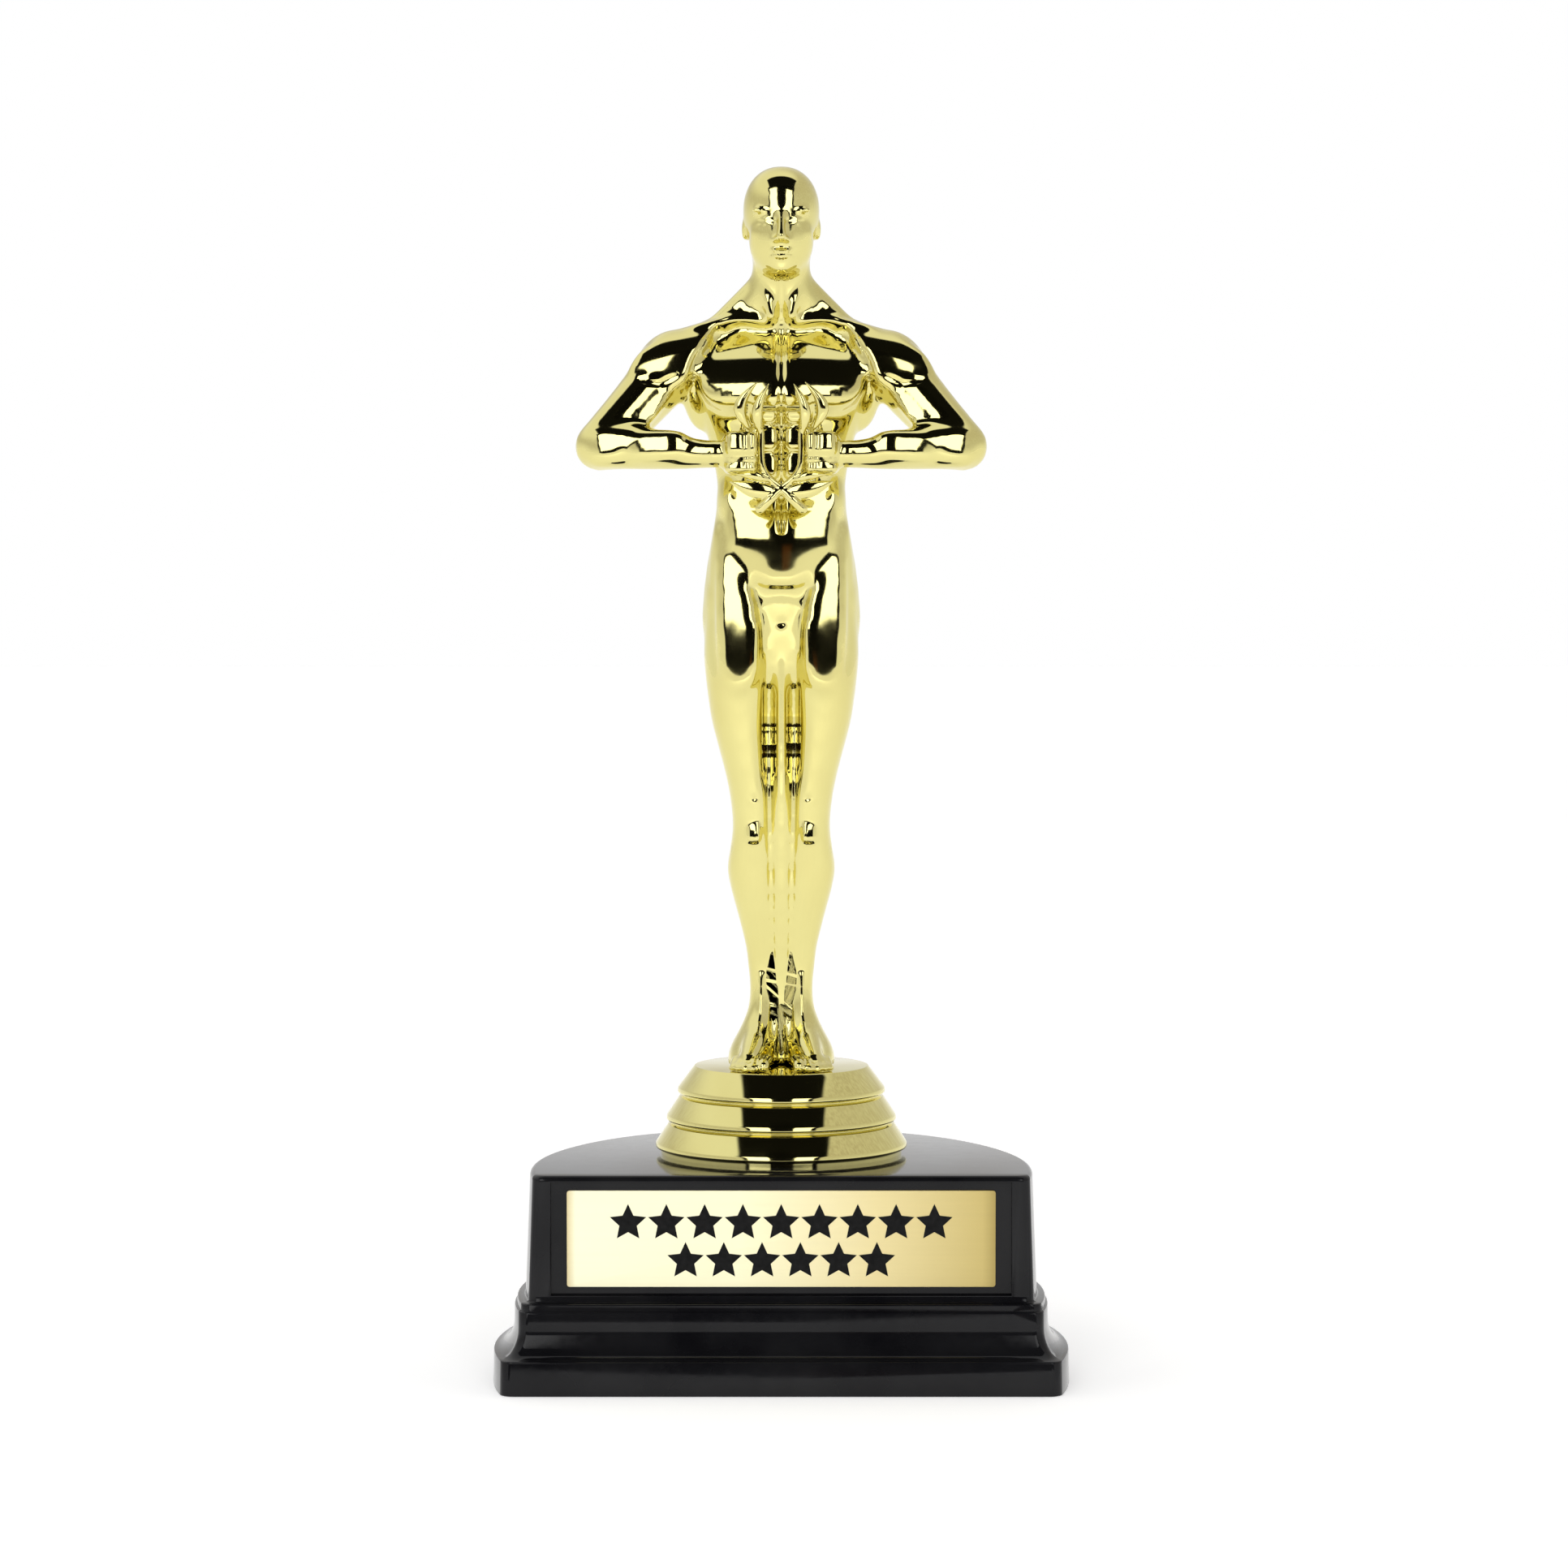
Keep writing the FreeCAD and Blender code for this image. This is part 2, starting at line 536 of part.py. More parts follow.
def branch():
    """Stem from its cut end, across the other one, up through the fist and in at the tip, with its leaves."""
    crossing = at_figure(0, CROSSING_HEIGHT)
    tail = crossing - heading(STEM_LEAN) * STEM_TAIL * FIGURE_SCALE
    lower, upper = LOWER_BEND * FIGURE_SCALE, UPPER_BEND * FIGURE_SCALE
    lean = math.radians(STEM_LEAN)
    run = (UPRIGHT_X * FIGURE_SCALE - lower * (1 - math.sin(lean))) / math.cos(lean)
    bend_start = crossing + heading(STEM_LEAN) * run
    lower_arc, upright, facing = bend(bend_start, STEM_LEAN, 90 - STEM_LEAN, lower)
    upright_top = at_figure(UPRIGHT_X, UPRIGHT_TOP)
    upper_arc, tip, tip_facing = bend(upright_top, facing, TIP_TURN, upper)
    path = Part.Wire([Part.makeLine(tail, bend_start), lower_arc,
                      Part.makeLine(upright, upright_top), upper_arc])
    section = Part.Wire([Part.makeCircle(STEM_RADIUS, tail, heading(STEM_LEAN))])
    leaf_size = (LEAF_LENGTH * FIGURE_SCALE, LEAF_WIDTH * FIGURE_SCALE)
    pieces = [leaf(tip, tip_facing, *leaf_size)]
    for splay in (-LEAF_SPLAY, LEAF_SPLAY):
        pieces.append(leaf(upright_top, 90 + splay, *leaf_size))
    low_root = crossing + V(0.4, 0, -0.3) * FIGURE_SCALE
    pieces.append(leaf(low_root, LOW_LEAF_LEAN, LOW_LEAF_LENGTH * FIGURE_SCALE, LOW_LEAF_WIDTH * FIGURE_SCALE))
    return path.makePipeShell([section], True, False).fuse(pieces)


def make_laurel_wreath():
    right = branch()
    return right.fuse(mirrored(right))


# ---------------------------------------------------------------- write every piece

def main():
    os.makedirs("parts", exist_ok=True)
    figure_front, figure_back = make_figure_halves()
    pieces = {
        "figure_front": figure_front,
        "figure_back": figure_back,
        "laurel_wreath": make_laurel_wreath(),
        "riser": make_riser(),
        "hex_bolt": make_hex_bolt(),
        "base_shell": make_base_shell(),
        "name_plate": make_name_plate(),
        "plate_tape": make_plate_tape(),
        "base_weight": make_base_weight(),
        "flat_washer": make_flat_washer(),
        "lock_washer": make_lock_washer(),
        "hex_nut": make_hex_nut(),
        "base_pad": make_base_pad(),
    }
    for name, shape in pieces.items():
        size = shape.BoundBox
        print(f"{name:14s} solids {len(shape.Solids)} valid {shape.isValid()} volume {shape.Volume:9.1f}"
              f"  x {size.XMin:6.1f} {size.XMax:6.1f}  y {size.YMin:6.1f} {size.YMax:6.1f}"
              f"  z {size.ZMin:6.1f} {size.ZMax:6.1f}")
        shape.exportStep(f"parts/{name}.step")


main()
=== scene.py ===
# %% [markdown]
# # A figure trophy around its CAD frame
# The trophy is a gold-plated plastic figure that holds an open laurel wreath, on a stepped gold
# riser, on a black D-shaped base with a printed name plate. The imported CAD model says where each
# part is, so this lesson starts by loading it. The parts that show are then modelled again with
# finer forms, and the hidden hardware keeps its CAD shape and gets a proper finish.

# %% Load the frame
import math

import bmesh
import bpy
import numpy as np
from mathutils import Euler, Matrix, Vector


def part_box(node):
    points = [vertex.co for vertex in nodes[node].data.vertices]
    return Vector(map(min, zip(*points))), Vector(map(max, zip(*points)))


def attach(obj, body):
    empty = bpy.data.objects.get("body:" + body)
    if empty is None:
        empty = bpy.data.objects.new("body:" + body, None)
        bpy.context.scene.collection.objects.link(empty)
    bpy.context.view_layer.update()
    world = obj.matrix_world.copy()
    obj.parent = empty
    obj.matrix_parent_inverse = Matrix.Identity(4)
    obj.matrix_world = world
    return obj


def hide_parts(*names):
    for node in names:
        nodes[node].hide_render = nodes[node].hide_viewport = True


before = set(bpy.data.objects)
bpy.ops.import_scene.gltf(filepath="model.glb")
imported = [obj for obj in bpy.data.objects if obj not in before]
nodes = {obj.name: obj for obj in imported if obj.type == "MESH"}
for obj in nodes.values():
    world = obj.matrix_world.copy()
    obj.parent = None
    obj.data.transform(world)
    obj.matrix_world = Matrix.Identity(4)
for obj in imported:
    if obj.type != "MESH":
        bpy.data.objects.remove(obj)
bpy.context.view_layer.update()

MM = 0.001                                  # lengths below are in millimetres


def cad_size(node):
    """Lowest and highest corner of a CAD node, in millimetres."""
    low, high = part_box(node)
    return low / MM, high / MM


sole = cad_size("riser")[1].z               # the figure stands on the riser's top face
base_low, base_high = cad_size("base_shell")
figure_height = cad_size("figure_front")[1].z - sole
print(f"{len(nodes)} CAD nodes, figure {figure_height:.1f} mm high, soles at {sole:.1f} mm")

# %% [markdown]
# ## Finishes
# Vacuum plating puts a thin bright metal film and a tinted lacquer on smooth plastic. It could be
# painted as a yellow picture, but the look of plating is what it reflects. So the gold is a true
# metal with a pale tint, low roughness, and a faint waviness from the moulded skin below.
# Every pattern reads Object coordinates, so it stays on the piece from every side.

# %% Helpers for the finishes
def new_finish(name):
    """A material with its shader, and a function that adds a node and links what it is given."""
    finish = bpy.data.materials.new(name)
    finish.use_nodes = True
    tree = finish.node_tree
    shader = tree.nodes["Principled BSDF"]

    def add(kind, settings=None, **inputs):
        node = tree.nodes.new(kind)
        for key, value in (settings or {}).items():
            setattr(node, key, value)
        for key, value in inputs.items():
            socket = node.inputs[key.replace("_", " ")]
            if isinstance(value, bpy.types.NodeSocket):
                tree.links.new(value, socket)
            else:
                socket.default_value = value
        return node

    def wire(key, value):
        tree.links.new(value, shader.inputs[key])

    return finish, shader, add, wire


def grain(add, size, detail=3.0, stretch=(1, 1, 1)):
    """Noise of a given grain size in millimetres, finer or coarser along an axis."""
    place = add("ShaderNodeTexCoord").outputs["Object"]
    scaled = add("ShaderNodeMapping", Vector=place, Scale=stretch).outputs["Vector"]
    return add("ShaderNodeTexNoise", Vector=scaled, Scale=1 / (size * MM), Detail=detail).outputs["Fac"]


def between(add, value, low, high):
    """Noise spread over a range, as a value between two numbers."""
    inputs = {"Value": value, "From Min": 0.3, "From Max": 0.7, "To Min": low, "To Max": high}
    return add("ShaderNodeMapRange", **inputs).outputs["Result"]


def tint(add, value, first, second):
    """Colour that goes from first to second with the value."""
    ramp = add("ShaderNodeValToRGB", Fac=value)
    ramp.color_ramp.elements[0].position = 0.3
    ramp.color_ramp.elements[0].color = (*first, 1)
    ramp.color_ramp.elements[1].position = 0.7
    ramp.color_ramp.elements[1].color = (*second, 1)
    return ramp.outputs["Color"]


def relief(add, wire, value, height, strength=1.0):
    """Bump of a given height in millimetres."""
    bump = add("ShaderNodeBump", Height=value, Strength=strength, Distance=height * MM)
    wire("Normal", bump.outputs["Normal"])


# %% The finishes that show
def plated_gold():
    finish, shader, add, wire = new_finish("plated_gold")
    shader.inputs["Metallic"].default_value = 1.0
    wire("Base Color", tint(add, grain(add, 14), (0.74, 0.665, 0.262), (0.79, 0.725, 0.302)))
    wire("Roughness", between(add, grain(add, 3.5), 0.045, 0.075))
    relief(add, wire, grain(add, 2.6, 1.0), 0.006)
    return finish


def black_plastic():
    finish, shader, add, wire = new_finish("black_plastic")
    shader.inputs["Specular IOR Level"].default_value = 0.22
    wire("Base Color", tint(add, grain(add, 9), (0.004, 0.004, 0.005), (0.009, 0.009, 0.010)))
    wire("Roughness", between(add, grain(add, 1.2), 0.06, 0.11))
    relief(add, wire, grain(add, 5.0, 2.0), 0.01)
    return finish


def plate_gold():
    """Printed sheet: cream at the left end, gold at the right end, with a fine brushed grain; the thin dark
    bands at both ends are painted shade.
    """
    finish, shader, add, wire = new_finish("plate_gold")
    low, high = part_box("name_plate")
    place = add("ShaderNodeTexCoord").outputs["Object"]
    across = add("ShaderNodeSeparateXYZ", Vector=place).outputs["X"]
    inputs = {"Value": across, "From Min": low.x, "From Max": high.x}
    along = add("ShaderNodeMapRange", **inputs).outputs["Result"]
    ramp = add("ShaderNodeValToRGB", Fac=along).color_ramp
    # The first and last stops darken the plate's two ends: painted shade, not print; the stops between are
    # the print.
    print_and_shade_stops = [(0.0, (0.72, 0.60, 0.32)), (0.02, (0.98, 0.955, 0.68)), (0.40, (0.97, 0.925, 0.62)),
             (0.72, (0.80, 0.68, 0.34)), (0.97, (0.58, 0.46, 0.165)), (1.0, (0.40, 0.30, 0.09))]
    ramp.elements[0].position = print_and_shade_stops[0][0]
    ramp.elements[1].position = print_and_shade_stops[-1][0]
    for position, colour in print_and_shade_stops[1:-1]:
        ramp.elements.new(position)
    for element, (position, colour) in zip(ramp.elements, print_and_shade_stops):
        element.color = (*colour, 1)
    shade = ramp.id_data.nodes[-1].outputs["Color"]
    brushed = grain(add, 0.5, 4.0, (0.03, 1, 1))
    wire("Base Color", add("ShaderNodeHueSaturation", Color=shade,
                           Value=between(add, brushed, 0.975, 1.0)).outputs["Color"])
    shader.inputs["Specular IOR Level"].default_value = 0.3
    wire("Roughness", between(add, brushed, 0.30, 0.42))
    relief(add, wire, brushed, 0.004)
    return finish


def printed_black():
    finish, shader, add, wire = new_finish("printed_black")
    shader.inputs["Specular IOR Level"].default_value = 0.1
    wire("Base Color", tint(add, grain(add, 0.8), (0.004, 0.004, 0.004), (0.010, 0.010, 0.010)))
    wire("Roughness", between(add, grain(add, 0.4), 0.35, 0.5))
    relief(add, wire, grain(add, 0.3), 0.004)
    return finish


GOLD = plated_gold()
BLACK = black_plastic()
PLATE = plate_gold()
PRINT = printed_black()
print("finishes that show:", GOLD.name, BLACK.name, PLATE.name, PRINT.name)

# %% [markdown]
# ## A helper that turns a bmesh into a piece
# Each piece is shaped in millimetres in a bmesh, then scaled to metres. It rides on the trophy's
# only body, and stands for the CAD node whose place it takes. Faces are smooth, with sharp edges
# only where two faces meet at a clear angle.

# %% Make a piece
def add_piece(bm, name, finish, node=None, crease=32.0):
    bmesh.ops.scale(bm, vec=(MM, MM, MM), verts=bm.verts)
    mesh = bpy.data.meshes.new(name)
    bm.to_mesh(mesh)
    bm.free()
    mesh.shade_smooth()
    mesh.set_sharp_from_angle(angle=math.radians(crease))
    mesh.materials.append(finish)
    piece = bpy.data.objects.new(name, mesh)
    bpy.context.scene.collection.objects.link(piece)
    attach(piece, "root")
    if node:
        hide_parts(node)
    triangles = sum(len(face.vertices) - 2 for face in mesh.polygons)
    print(f"{name}: {triangles} triangles")
    return piece


def only(kind, geometry):
    return [part for part in geometry if isinstance(part, kind)]


# %% [markdown]
# ## Base
# The base is one moulding: a block with a flat front and a bowed back, a ledge, a band, a hollow
# cove and a plinth. A lathe can't make a D shape, but each line of the moulding keeps the same
# distance from the block all round. So the outline is laid out once for each line of the profile,
# neighbouring outlines are bridged, and the two upright corners are rounded last with a bevel.

# %% Profile of the base
front = -26.5                               # the block's flat front, at its top edge
back = 26.5
half_width = 36.6
widest = front + 10.0                       # where the two sides are furthest apart
base_top = base_high.z
roof = base_top - 2.6                       # underside of the top wall
wall = 1.5
draft = 0.65                                # how far the block spreads from top to foot
block_height, ledge_height, band_height, cove_height = 18.2, 1.0, 2.5, 4.2
ledge_spread, band_spread, cove_spread = 1.2, 0.45, 3.1
rim, pad_ledge = 1.1, 2.6                   # from the plinth's face to the pad, and to the cavity
inner_lines = 6                             # lines of the profile that nobody sees
pad_top = cad_size("base_pad")[1].z


def arc(centre, wide, high, start, end, steps):
    """Points on an oval arc of (spread, height), between two angles in degrees."""
    turns = [math.radians(start + (end - start) * i / steps) for i in range(steps + 1)]
    return [(centre[0] + wide * math.cos(t), centre[1] + high * math.sin(t)) for t in turns]


def base_profile():
    """(spread, height) from the inside of the roof, down the inner wall, and up the outside."""
    block_foot = base_top - block_height
    band_top = block_foot - ledge_height
    cove_top = band_top - band_height
    plinth_top = cove_top - cove_height
    band = draft + ledge_spread + band_spread
    foot = band + cove_spread
    points = [(-wall, roof), (-wall, cove_top), (foot - pad_ledge, plinth_top - 1.0),
              (foot - pad_ledge, pad_top), (foot - rim, pad_top), (foot - rim, 0.0)]
    points += arc((foot - 0.15, 0.15), 0.15, 0.15, -90, 0, 3)
    points += arc((foot - 0.25, plinth_top - 0.2), 0.15, 0.2, 0, 90, 3)
    points += arc((foot - 0.1, cove_top), foot - 0.1 - band, cove_top - plinth_top, 270, 180, 10)[1:]
    points += arc((band - 0.4, band_top - 0.3), 0.35, 0.3, 0, 90, 3)
    points += arc((draft + 1.0, block_foot - 0.2), 0.2, 0.2, 0, 90, 3)
    points += arc((draft + 0.4, block_foot + 0.35), 0.4, 0.35, 270, 180, 4)
    points += arc((-0.7, base_top - 0.7), 0.7, 0.7, 0, 90, 6)
    return points


# %% Lay out the D and bridge it
def d_outline(spread):
    """Points round the D, grown by spread: right corner, side arc, back arc, and back down the left."""
    length = back - widest
    side_radius = length ** 2 / half_width
    side_x = half_width - side_radius
    back_radius = (side_radius ** 2 - side_x ** 2 - length ** 2) / (2 * (side_radius - length))
    rear_y = back - back_radius
    corner = -math.asin((widest - front + spread) / (side_radius + spread))
    join = math.atan2(rear_y - widest, -side_x)
    half = []
    for centre, radius, start, end, steps in (((side_x, widest), side_radius, corner, join, 32),
                                              ((0, rear_y), back_radius, join, math.pi / 2, 26)):
        for i in range(steps):
            turn = start + (end - start) * i / steps
            half.append((centre[0] + (radius + spread) * math.cos(turn),
                         centre[1] + (radius + spread) * math.sin(turn)))
    return half + [(0, back + spread)] + [(-x, y) for x, y in reversed(half)]


def lay_out_base():
    bm = bmesh.new()
    loops, corners = [], []
    for spread, height in base_profile():
        ring = [bm.verts.new((x, y, height)) for x, y in d_outline(spread)]
        loops.append([bm.edges.new(pair) for pair in zip(ring, ring[1:] + ring[:1])])
        corners.append((ring[0], ring[-1]))
    for lower, upper in zip(loops, loops[1:]):
        bmesh.ops.bridge_loops(bm, edges=lower + upper)
    for rim in (loops[0], loops[-1]):
        bmesh.ops.contextual_create(bm, geom=rim)
    upright = []
    for lower, upper in zip(corners[inner_lines:], corners[inner_lines + 1:]):
        upright += [bm.edges.get(pair) for pair in zip(lower, upper)]
    bmesh.ops.bevel(bm, geom=[e for e in upright if e], offset=1.2, offset_type="OFFSET", affect="EDGES",
                    segments=5, profile=0.5, material=-1)
    print(f"profile {len(loops)} lines, outline {len(loops[0])} points, corner edges {len(upright)}")
    return bm


# %% Sink the recess for the name plate
plate_low, plate_high = cad_size("name_plate")
recess_half = plate_high.x + 2.3
recess_bottom = plate_low.z - 1.2
recess_top = base_top - 0.9
recess_floor = front + 0.55


def sink_recess(bm):
    """Cuts the front face along the recess's outline and pushes the middle back to a flat floor."""
    cuts = [((-recess_half, 0, 0), (1, 0, 0)), ((recess_half, 0, 0), (1, 0, 0)),
            ((0, 0, recess_bottom), (0, 0, 1)), ((0, 0, recess_top), (0, 0, 1))]
    for place, normal in cuts:
        faces = [f for f in bm.faces if f.calc_center_median().y < front + 0.1
                 and abs(f.normal.y) > 0.9 and f.calc_center_median().z > recess_bottom - 3]
        geometry = faces + list({e for f in faces for e in f.edges})
        geometry += list({v for f in faces for v in f.verts})
        bmesh.ops.bisect_plane(bm, geom=geometry, dist=0.001, plane_co=place, plane_no=normal)
    middle = []
    for face in bm.faces:
        point = face.calc_center_median()
        inside = abs(point.x) < recess_half and recess_bottom < point.z < recess_top
        if inside and point.y < front + 0.1:
            middle.append(face)
    made = bmesh.ops.extrude_face_region(bm, geom=middle)["geom"]
    bmesh.ops.delete(bm, geom=[f for f in middle if f.is_valid], context="FACES_ONLY")
    floor = only(bmesh.types.BMVert, made)
    for vert in floor:
        vert.co.y = recess_floor
    walls = {e for v in floor for e in v.link_edges if abs(e.verts[0].co.y - e.verts[1].co.y) > 0.3}
    mouth = {v for e in walls for v in e.verts} - set(floor)
    lip = [e for e in bm.edges if e.verts[0] in mouth and e.verts[1] in mouth and e not in walls]
    bmesh.ops.bevel(bm, geom=lip, offset=0.12, offset_type="OFFSET", affect="EDGES", segments=2, profile=0.5,
                    material=-1)


bm = lay_out_base()
sink_recess(bm)
bmesh.ops.recalc_face_normals(bm, faces=bm.faces)
print("open edges in the base:", sum(e.is_boundary for e in bm.edges))
add_piece(bm, "base", BLACK, "base_shell")

# %% [markdown]
# ## Riser
# The riser is three cone bands, each with a rounded rim that throws a dark line under itself.
# It could be stacked from cones. One profile spun about the axis is what a lathe or a mould does,
# and its rims are then rounded with a bevel.

# %% Spin the riser
riser_top_radius = 13.0
first_rim_radius, first_rim_drop = 15.6, 4.0
rims, rim_step, rim_pitch = 3, 1.65, 4.1
neck = 0.85                                 # how far the dark line under a rim goes in
spin_steps = 160


def riser_profile():
    """(radius, height) from the middle of the top face to the middle of the underside."""
    radius, height = first_rim_radius, sole - first_rim_drop
    points = [(0, sole), (riser_top_radius, sole)]
    for rim_number in range(rims):
        points += [(radius - 0.12, height + 0.75), (radius, height + 0.25), (radius - 0.15, height),
                   (radius - neck, height - 0.15), (radius - neck, height - 0.4)]
        if rim_number < rims - 1:
            points += [(radius - 0.3, height - 0.6)]
            radius += rim_step
            height -= rim_pitch
    return points + [(radius - neck, base_top), (0, base_top)]


bm = bmesh.new()
line = [bm.verts.new((radius, 0, height)) for radius, height in riser_profile()]
edges = [bm.edges.new(pair) for pair in zip(line, line[1:])]
bmesh.ops.spin(bm, geom=line + edges, cent=(0, 0, 0), axis=(0, 0, 1), angle=2 * math.pi,
               steps=spin_steps, use_merge=True)
bmesh.ops.remove_doubles(bm, verts=bm.verts, dist=0.001)
bmesh.ops.recalc_face_normals(bm, faces=bm.faces)
rings = [e for e in bm.edges if abs(e.verts[0].co.z - e.verts[1].co.z) < 0.001
         and abs(e.verts[0].co.xy.length - e.verts[1].co.xy.length) < 0.01
         and base_top + 0.01 < e.verts[0].co.z and e.calc_face_angle(0) > 0.2]
bmesh.ops.bevel(bm, geom=rings, offset=0.1, offset_type="OFFSET", affect="EDGES", segments=3, profile=0.5,
                material=-1)
print("rings rounded on the riser:", len(rings) // spin_steps)
add_piece(bm, "riser", GOLD, "riser", crease=50)

# %% [markdown]
# ## Name plate and its print
# The plate is thin sheet with round corners, stuck into the recess. The print is a layer of its
# own, a few hundredths of a millimetre proud: two rows of five-pointed stars stand where a
# trophy shop puts words.

# %% Cut the plate
bm = bmesh.new()
size = plate_high - plate_low
middle = (plate_low + plate_high) / 2
bmesh.ops.create_cube(bm, size=1, matrix=Matrix.Translation(middle) @ Matrix.Diagonal((*size, 1)))
corners = [e for e in bm.edges if abs(e.verts[0].co.y - e.verts[1].co.y) > size.y / 2]
bmesh.ops.bevel(bm, geom=corners, offset=0.4, offset_type="OFFSET", affect="EDGES", segments=6, profile=0.5,
                material=-1)
edge = [e for e in bm.edges if all(v.co.y < middle.y for v in e.verts)]
bmesh.ops.bevel(bm, geom=edge, offset=0.06, offset_type="OFFSET", affect="EDGES", segments=2, profile=0.5,
                material=-1)
add_piece(bm, "name_plate_sheet", PLATE, "name_plate")


# %% Print the stars
star_radius, star_waist, star_pitch = 2.75, 0.48, 5.5
print_thickness = 0.03
star_rows = ((9, 2.3), (6, -3.2))           # how many, and how far above the plate's middle


def star(bm, x, z, radius, face_y):
    """Five-pointed star in the plate's plane, one point up, with its thickness towards the viewer."""
    place = Matrix.Translation((x, face_y, z)) @ Matrix.Rotation(math.pi / 2, 4, "X")
    place = place @ Matrix.Scale(radius, 4)
    points = bmesh.ops.create_circle(bm, cap_ends=True, segments=10, radius=1, matrix=place)["verts"]
    inner = points[1::2]
    for vert in inner:
        vert.co = Vector((x, face_y, z)) + (vert.co - Vector((x, face_y, z))) * star_waist
    face = points[0].link_faces[0]
    made = bmesh.ops.extrude_face_region(bm, geom=[face], use_keep_orig=True)["geom"]
    bmesh.ops.translate(bm, vec=(0, -print_thickness, 0), verts=only(bmesh.types.BMVert, made))


bm = bmesh.new()
for count, above_middle in star_rows:
    for i in range(count):
        star(bm, (i - (count - 1) / 2) * star_pitch, middle.z + above_middle, star_radius,
             plate_low.y + 0.01)
bmesh.ops.recalc_face_normals(bm, faces=bm.faces)
add_piece(bm, "star_print", PRINT)

# %% [markdown]
# ## Figure: forms first
# A moulded figure starts as a sculpture, and sculptors add soft forms and then melt them together.
# It could be modelled face by face, but muscles flow into each other, and a mesh grid fights that.
# So each part of the body is a simple closed form in one bmesh. A voxel remesh takes the outside
# of them all as one skin, and smoothing melts the joins. Places are (x, y, h): x out from the
# middle, y to the back, h above the soles, for the figure's left side; most forms are mirrored.

# %% Sculpting forms
BOTH = (1, -1)
fist_y = -11.6                              # middle of the fists and plane of the wreath


def at(x, y, h, side=1):
    return Vector((side * x, y, sole + h))


def keep(bm, form):
    """Puts a finished form on the pile. Each is made alone, because operators are slow on a full mesh."""
    mesh = bpy.data.meshes.new("form")
    form.to_mesh(mesh)
    form.free()
    bm.from_mesh(mesh)
    bpy.data.meshes.remove(mesh)


def squared(verts, power):
    """Pushes a unit circle or sphere towards a rounded box: 1 leaves it round, 0.5 is clearly square."""
    for vert in verts:
        vert.co = Vector([math.copysign(abs(c) ** power, c) for c in vert.co])


def lump(bm, place, size, tilt=(0, 0, 0), sides=BOTH, square=1.0):
    """Ellipsoid with half sizes (x, y, h), tilted in degrees about x, y and the vertical."""
    for side in sides:
        turn = Euler((math.radians(tilt[0]), side * math.radians(tilt[1]), side * math.radians(tilt[2])))
        matrix = (Matrix.Translation(at(*place, side)) @ turn.to_matrix().to_4x4()
                  @ Matrix.Diagonal((*size, 1)))
        form = bmesh.new()
        bmesh.ops.create_uvsphere(form, u_segments=32, v_segments=20, radius=1)
        squared(form.verts, square)
        bmesh.ops.transform(form, matrix=matrix, verts=form.verts)
        keep(bm, form)


def loft(bm, places, segments=40, square=1.0):
    """Closed skin through a row of rings, each a unit circle put in its place by a matrix."""
    form = bmesh.new()
    ring = bmesh.ops.create_circle(form, cap_ends=True, segments=segments, radius=1)["verts"]
    squared(ring, square)
    bmesh.ops.transform(form, matrix=places[0], verts=ring)
    edges = list(form.edges)
    for here, there in zip(places, places[1:]):
        made = bmesh.ops.extrude_edge_only(form, edges=edges)["geom"]
        ring = set(only(bmesh.types.BMVert, made))
        edges = [e for e in only(bmesh.types.BMEdge, made) if e.verts[0] in ring and e.verts[1] in ring]
        bmesh.ops.transform(form, matrix=there @ here.inverted(), verts=list(ring))
    bmesh.ops.contextual_create(form, geom=edges)
    keep(bm, form)


def eased(rows, steps=4):
    """Rows with smooth ones in between, on a curve that passes through every given row."""
    rows = [np.array(row, float) for row in rows]
    rows = [2 * rows[0] - rows[1]] + rows + [2 * rows[-1] - rows[-2]]
    between_rows = []
    for a, b, c, d in zip(rows, rows[1:], rows[2:], rows[3:]):
        for t in (i / steps for i in range(steps)):
            between_rows.append(((2 * b) + (c - a) * t + (2 * a - 5 * b + 4 * c - d) * t ** 2
                                 + (3 * b - a - 3 * c + d) * t ** 3) / 2)
    return between_rows + [rows[-2]]


def trunk(bm, rows, sides=(1,), square=1.0):
    """Upright form from level ovals: (height, middle x, half width, front y, back y)."""
    for side in sides:
        loft(bm, [Matrix.Translation(at(x, (front_y + back_y) / 2, h, side))
                  @ Matrix.Diagonal((wide, (back_y - front_y) / 2, 1, 1))
                  for h, x, wide, front_y, back_y in eased(rows)], square=square)


def limb(bm, rows, sides=BOTH, segments=24):
    """Round form that bends freely through (x, y, h, radius), with round ends."""
    for side in sides:
        path = [(at(x, y, h, side), radius) for x, y, h, radius in eased(rows, 3)]
        places = []
        heading = (path[1][0] - path[0][0]).normalized()
        turn = heading.to_track_quat("Z", "Y")
        for i, (point, radius) in enumerate(path):
            ahead = (path[min(i + 1, len(path) - 1)][0] - path[max(i - 1, 0)][0]).normalized()
            turn = heading.rotation_difference(ahead) @ turn
            heading = ahead
            places.append(Matrix.Translation(point) @ turn.to_matrix().to_4x4() @ Matrix.Scale(radius, 4))
        loft(bm, places, segments)
        for point, radius in (path[0], path[-1]):
            ball = bmesh.new()
            bmesh.ops.create_uvsphere(ball, u_segments=segments, v_segments=12, radius=radius,
                                      matrix=Matrix.Translation(point))
            keep(bm, ball)


